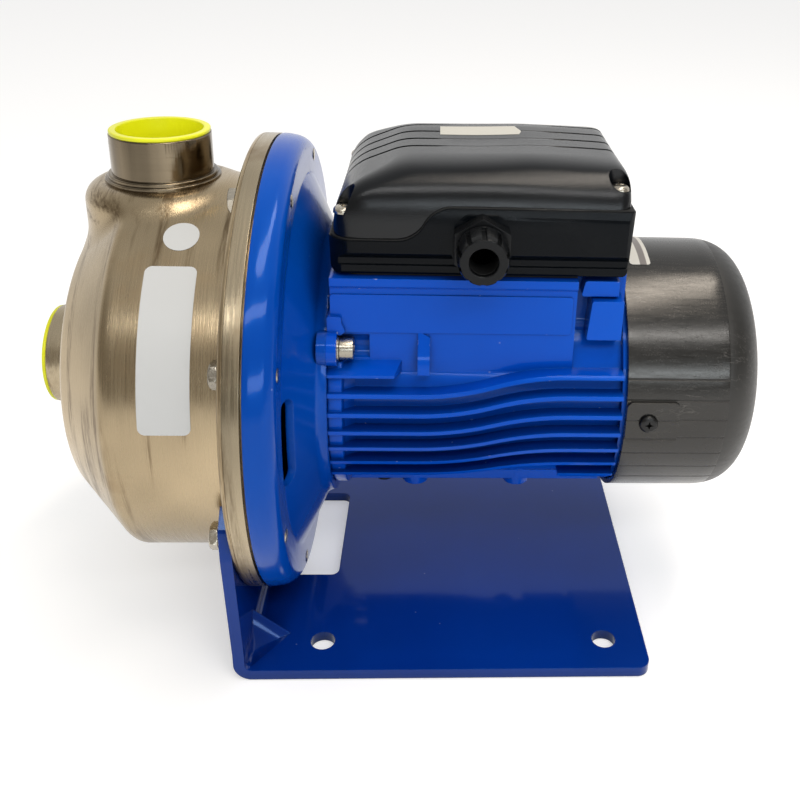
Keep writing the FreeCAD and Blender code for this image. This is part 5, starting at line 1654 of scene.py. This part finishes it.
@dataclass
class WetEnd(SubAssembly):
    """Casing, ports, plugs and the parts inside them."""

    bolt_circle: float = 97.0
    front_face: float = -8.5
    bracket_face: float = -13.5
    front_reach: float = 21.7
    sticker_r: float = 87.25

    def build(self) -> None:
        """Dress the wet end."""
        unit = Body.UNIT
        Casing().build(self.palette)
        self.dress(
            CastSkin("casing_ring", unit, "stainless_turned", "polished_rim", 0.5),
            CastSkin("suction_socket", unit, "stainless_turned", "polished_rim", 0.25),
            CastSkin("discharge_socket", unit, "stainless_turned", "socket_steel", 0.25),
            CastSkin("suction_plug", Body.SUCTION_PLUG, "yellow_plastic", "plug_yellow", 0.3),
            CastSkin("discharge_plug", Body.DISCHARGE_PLUG, "yellow_plastic", "plug_yellow", 0.3),
            CastSkin("impeller", Body.ROTOR, "stainless_turned", "polished_rim", 0.25),
            CastSkin("seal_plate", unit, "stainless_shell", "casing_steel", 0.3),
        )
        self.flange_screws("casing_screws", self.front_face, 0)
        self.flange_screws("bracket_screws", self.bracket_face, 4)
        Sticker("casing_sticker_round", "sticker_white", self.sticker_r, (-38.6, -24.2), (55.5, 65.2),
                round=True).build(self.palette)
        Sticker("casing_sticker_long", "sticker_white", self.sticker_r, (-43.2, -22.6), (5.6, 50.6),
                corner=3.0).build(self.palette)

    def flange_screws(self, node: str, face: float, first: int) -> None:
        """Seat four hexagon screws of the eight round the flange, from the first one on.

        Args:
            node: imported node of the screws.
            face: X of their bearing face.
            first: number of the first screw.
        """
        angles = [math.radians(22.5 + 45 * k) for k in range(first, first + 4)]
        places = [(face, -self.bolt_circle * math.cos(a), self.bolt_circle * math.sin(a)) for a in angles]
        reach = self.front_reach + self.front_face - face
        self.seat(FastenerSet(node, Body.UNIT, Fastener(Drive.HEXAGON, 5.0, 4.0, 3.0, reach), places))


@dataclass
class DriveEnd(SubAssembly):
    """Adapter, foot bracket, motor and fan cover."""

    motor_circle: float = 61.2
    motor_face: float = 32.6
    cover_screw: Point = (165.5, -60.9, 0.0)
    cover_r: float = 60.06

    def build(self) -> None:
        """Dress the drive end."""
        unit = Body.UNIT
        self.dress(
            CastSkin("motor_adapter", unit, "blue_cast", "adapter_blue", 0.6),
            HollowSkin("foot_bracket", unit, "blue_sheet", "bracket_blue_painted_shade", 0.9),
            CastSkin("front_end_shield", unit, "blue_cast", "frame_blue", 0.5),
            CastSkin("motor_frame", unit, "blue_cast", "frame_blue", 0.4),
            CastSkin("rear_end_shield", unit, "cage_aluminium", "frame_blue", 0.4),
            CastSkin("fan_cover", unit, "cover_plastic", "cover_black", 0.35),
            CastSkin("cooling_fan", Body.ROTOR, "black_plastic", "gland_black", 0.25),
        )
        radius = self.motor_circle
        turns = [math.radians(angle) for angle in (30.0, 150.0, 270.0)]
        motor = [(self.motor_face, -radius * math.cos(a), radius * math.sin(a)) for a in turns]
        cap = Fastener(Drive.SOCKET, 4.8, 6.0, 3.0, 12.0)
        self.seat(FastenerSet("motor_screws", unit, cap, motor, (0.0, 0.0, math.pi)))
        pan = Fastener(Drive.CROSS, 4.2, 2.4, 2.0, 10.0, 0.7)
        self.seat(FastenerSet("fan_cover_screws", unit, pan, [self.cover_screw], (0.0, 0.0, math.pi / 2),
                              "fastener_black", both_sides=True))
        Sticker("cover_sticker", "sticker_cover", self.cover_r, (160.0, 169.5), (72.0, 109.0),
                corner=1.5).build(self.palette)


@dataclass
class TerminalBox(SubAssembly):
    """Terminal box with its lid, screws and cable gland."""

    front_screw: Point = (34.5, 43.5, 88.0)
    rear_screw: Point = (147.5, 41.0, 98.5)

    def build(self) -> None:
        """Dress the box."""
        unit = Body.UNIT
        lid = PillowSkin("terminal_box_lid", Body.LID, "black_plastic", "lid_black", 0.0)
        LidPaper().build(lid.build(self.frame, self.palette), self.palette)
        self.dress(
            CastSkin("terminal_box_base", unit, "black_plastic", "box_black", 0.5),
            CastSkin("cable_gland_body", unit, "black_plastic", "gland_black", 0.35),
            CastSkin("cable_gland_nut", unit, "black_plastic", "gland_black", 0.3),
        )
        places = [(x, side * y, z) for x, y, z in (self.front_screw, self.rear_screw) for side in (-1, 1)]
        pan = Fastener(Drive.CROSS, 4.2, 2.8, 2.0, 18.0, 0.7)
        self.seat(FastenerSet("terminal_box_lid_screws", Body.LID, pan, places, (0.0, math.pi / 2, 0.0)))


class PlainNodes:
    """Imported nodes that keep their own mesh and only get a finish."""

    FINISHES: dict[str, str] = {
        "casing_o_ring": "rubber_black", "wear_ring": "polished_rim", "impeller_key": "ground_steel",
        "impeller_washer": "fastener_steel", "impeller_nut": "fastener_steel",
        "seal_rotating_head": "seal_carbon", "seal_spring": "ground_steel",
        "seal_stationary_seat": "seal_ceramic", "motor_screw_washers": "fastener_steel",
        "drain_plug": "gland_black", "stator_core": "laminations", "stator_winding": "winding_copper",
        "rotor_core": "laminations", "rotor_cage": "cast_aluminium", "shaft": "ground_steel",
        "shaft_slinger": "rubber_black", "front_bearing_inner_ring": "bearing_steel",
        "front_bearing_outer_ring": "bearing_steel", "rear_bearing_inner_ring": "bearing_steel",
        "rear_bearing_outer_ring": "bearing_steel", "bearing_preload_washer": "ground_steel",
        "rear_shield_screws": "fastener_steel", "fan_circlip": "ground_steel",
        "terminal_box_seat_gasket": "rubber_black", "terminal_box_fixing_screws": "fastener_steel",
        "terminal_box_lid_gasket": "rubber_black", "terminal_block": "block_plastic",
        "capacitor": "capacitor_plastic", "cable_gland_locknut": "gland_black",
        "cable_gland_seal": "rubber_black",
    }

    def build(self, frame: dict, palette: Palette) -> None:
        """Give each node its finish.

        Args:
            palette: the finishes.
        """
        for name, finish in self.FINISHES.items():
            node = frame["nodes"][name]
            if not node.material_slots:
                node.data.materials.append(palette[finish])
            for slot in node.material_slots:
                slot.material = palette[finish]


# Studio


@dataclass
class Studio:
    """Floor, light and the camera at the photograph's place."""

    focal: float = 952.398145
    principal: tuple[float, float] = (490.0, 275.0)
    camera: Point = (71.707, -414.345, 213.161)
    pitch: float = -0.388419
    yaw: float = -0.063639
    roll: float = -0.040407
    frame_px: float = 800.0
    sensor: float = 36.0
    clip: tuple[float, float] = (0.01, 50.0)
    floor_half: float = 4.0
    floor_drop: float = 0.0004
    floor_grey: Colour = (0.80, 0.80, 0.80)
    floor_glow: float = 0.38
    cool: Colour = (0.84, 0.93, 1.0)
    neutral: Colour = (1.0, 1.0, 1.0)
    warm: Colour = (1.0, 0.91, 0.80)
    room: Colour = (0.36, 0.335, 0.30)
    backdrop: Colour = (0.92, 0.92, 0.92)
    ceiling: Colour = (0.62, 0.62, 0.62)

    def build(self) -> None:
        """Make the camera, the floor, the lamps and the world."""
        self.make_camera()
        self.make_floor()
        self.make_lamp("long_window", (0.30, -1.10, 1.30), (0.06, 0.0, 0.14), (1.70, 0.18), 7.5, self.neutral)
        self.make_lamp("low_window", (0.45, -1.50, 0.50), (0.05, 0.0, 0.10), (1.20, 0.20), 5.0, self.cool)
        self.make_lamp("top_panel", (0.35, -0.12, 1.50), (0.08, 0.0, 0.10), (1.20, 0.24), 8.5, self.warm)
        self.make_world()
        bpy.context.scene.view_settings.view_transform = "Standard"

    def make_camera(self) -> None:
        """Place the camera that was solved from the photograph."""
        data = bpy.data.cameras.new("photo_camera")
        data.sensor_width = self.sensor
        data.lens = self.focal * self.sensor / self.frame_px
        data.shift_x = -(self.principal[0] - self.frame_px / 2) / self.frame_px
        data.shift_y = (self.principal[1] - self.frame_px / 2) / self.frame_px
        data.clip_start, data.clip_end = self.clip
        camera = bpy.data.objects.new("photo_camera", data)
        yaw, pitch, roll = (Matrix.Rotation(angle, 3, axis) for angle, axis in (
            (self.yaw, "Z"), (self.pitch, "X"), (self.roll, "Y")))
        turn = yaw @ pitch @ roll
        right, ahead, up = turn.col[0], turn.col[1], turn.col[2]
        axes = Matrix((right, up, -ahead)).transposed()
        camera.matrix_world = Matrix.Translation(at(*self.camera)) @ axes.to_4x4()
        bpy.context.scene.collection.objects.link(camera)
        bpy.context.scene.camera = camera

    def make_floor(self) -> None:
        """Pale floor that reads as white to the camera but keeps the shadow."""
        mesh = bpy.data.meshes.new("floor")
        with edited(mesh) as made:
            bmesh.ops.create_grid(made, x_segments=2, y_segments=2, size=self.floor_half)
        mesh.transform(Matrix.Translation((0, 0, -self.floor_drop)))
        material = bpy.data.materials.new("pale_floor")
        material.use_nodes = True
        material.node_tree.nodes.clear()
        tree = Tree(material.node_tree)
        matt = tree.out("ShaderNodeBsdfDiffuse", Color=self.floor_grey)
        glow = tree.out("ShaderNodeEmission", Color=self.neutral, Strength=self.floor_glow)
        both = tree.out("ShaderNodeAddShader", matt, glow)
        rays = tree.node("ShaderNodeLightPath").outputs
        seen, glossy, through = (
            Field(tree, rays[kind]) for kind in ("Is Camera Ray", "Is Glossy Ray", "Is Transmission Ray"))
        straight = tree.math("MAXIMUM", tree.math("MAXIMUM", seen, glossy), through)
        tree.node("ShaderNodeOutputMaterial", tree.out("ShaderNodeMixShader", straight, matt, both))
        floor = new_piece("floor", mesh, material)
        floor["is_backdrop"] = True

    def make_lamp(self, name: str, place: Point, target: Point, size: tuple[float, float], power: float,
                  colour: Colour) -> None:
        """Add a soft rectangular lamp.

        Args:
            name: lamp name.
            place: where it stands, in metres.
            target: what it is aimed at, in metres.
            size: its width and height, in metres.
            power: watts.
            colour: its light.
        """
        data = bpy.data.lights.new(name, "AREA")
        data.shape = "RECTANGLE"
        data.color, data.energy = colour, power
        data.size, data.size_y = size
        lamp = bpy.data.objects.new(name, data)
        lamp.location = place
        lamp.rotation_euler = (Vector(target) - Vector(place)).to_track_quat("-Z", "Y").to_euler()
        bpy.context.scene.collection.objects.link(lamp)

    def make_world(self) -> None:
        """Pale backdrop behind the object, pale ceiling and a dimmer room in front of it."""
        world = bpy.data.worlds.new("studio")
        bpy.context.scene.world = world
        world.use_nodes = True
        world.node_tree.nodes.clear()
        tree = Tree(world.node_tree)
        _, towards, up = tree.split(tree.out("ShaderNodeTexCoord", pick="Generated"))
        walls = tree.mix(tree.band(towards, -0.25, 0.55), self.room, self.backdrop)
        sky = tree.mix(tree.band(up, 0.35, 0.95), walls, self.ceiling)
        tree.node("ShaderNodeOutputWorld", tree.out("ShaderNodeBackground", Color=sky, Strength=1.0))


def corners(box: Iterable[Vector]) -> list[list[float]]:
    """A pair of corners as plain lists."""
    return [[round(value, 5) for value in corner] for corner in box]


def main() -> None:
    """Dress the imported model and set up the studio."""
    logging.basicConfig(level=logging.INFO, format="%(message)s")
    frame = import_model()
    solids = corners(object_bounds())
    Studio().build()
    palette = Palette()
    tree = instancing_tree()
    PlainNodes().build(frame, palette)
    WetEnd(frame, palette, tree).build()
    DriveEnd(frame, palette, tree).build()
    TerminalBox(frame, palette, tree).build()
    {"cad": solids, "visual": corners(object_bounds())}


if __name__ == "__main__":
    main()
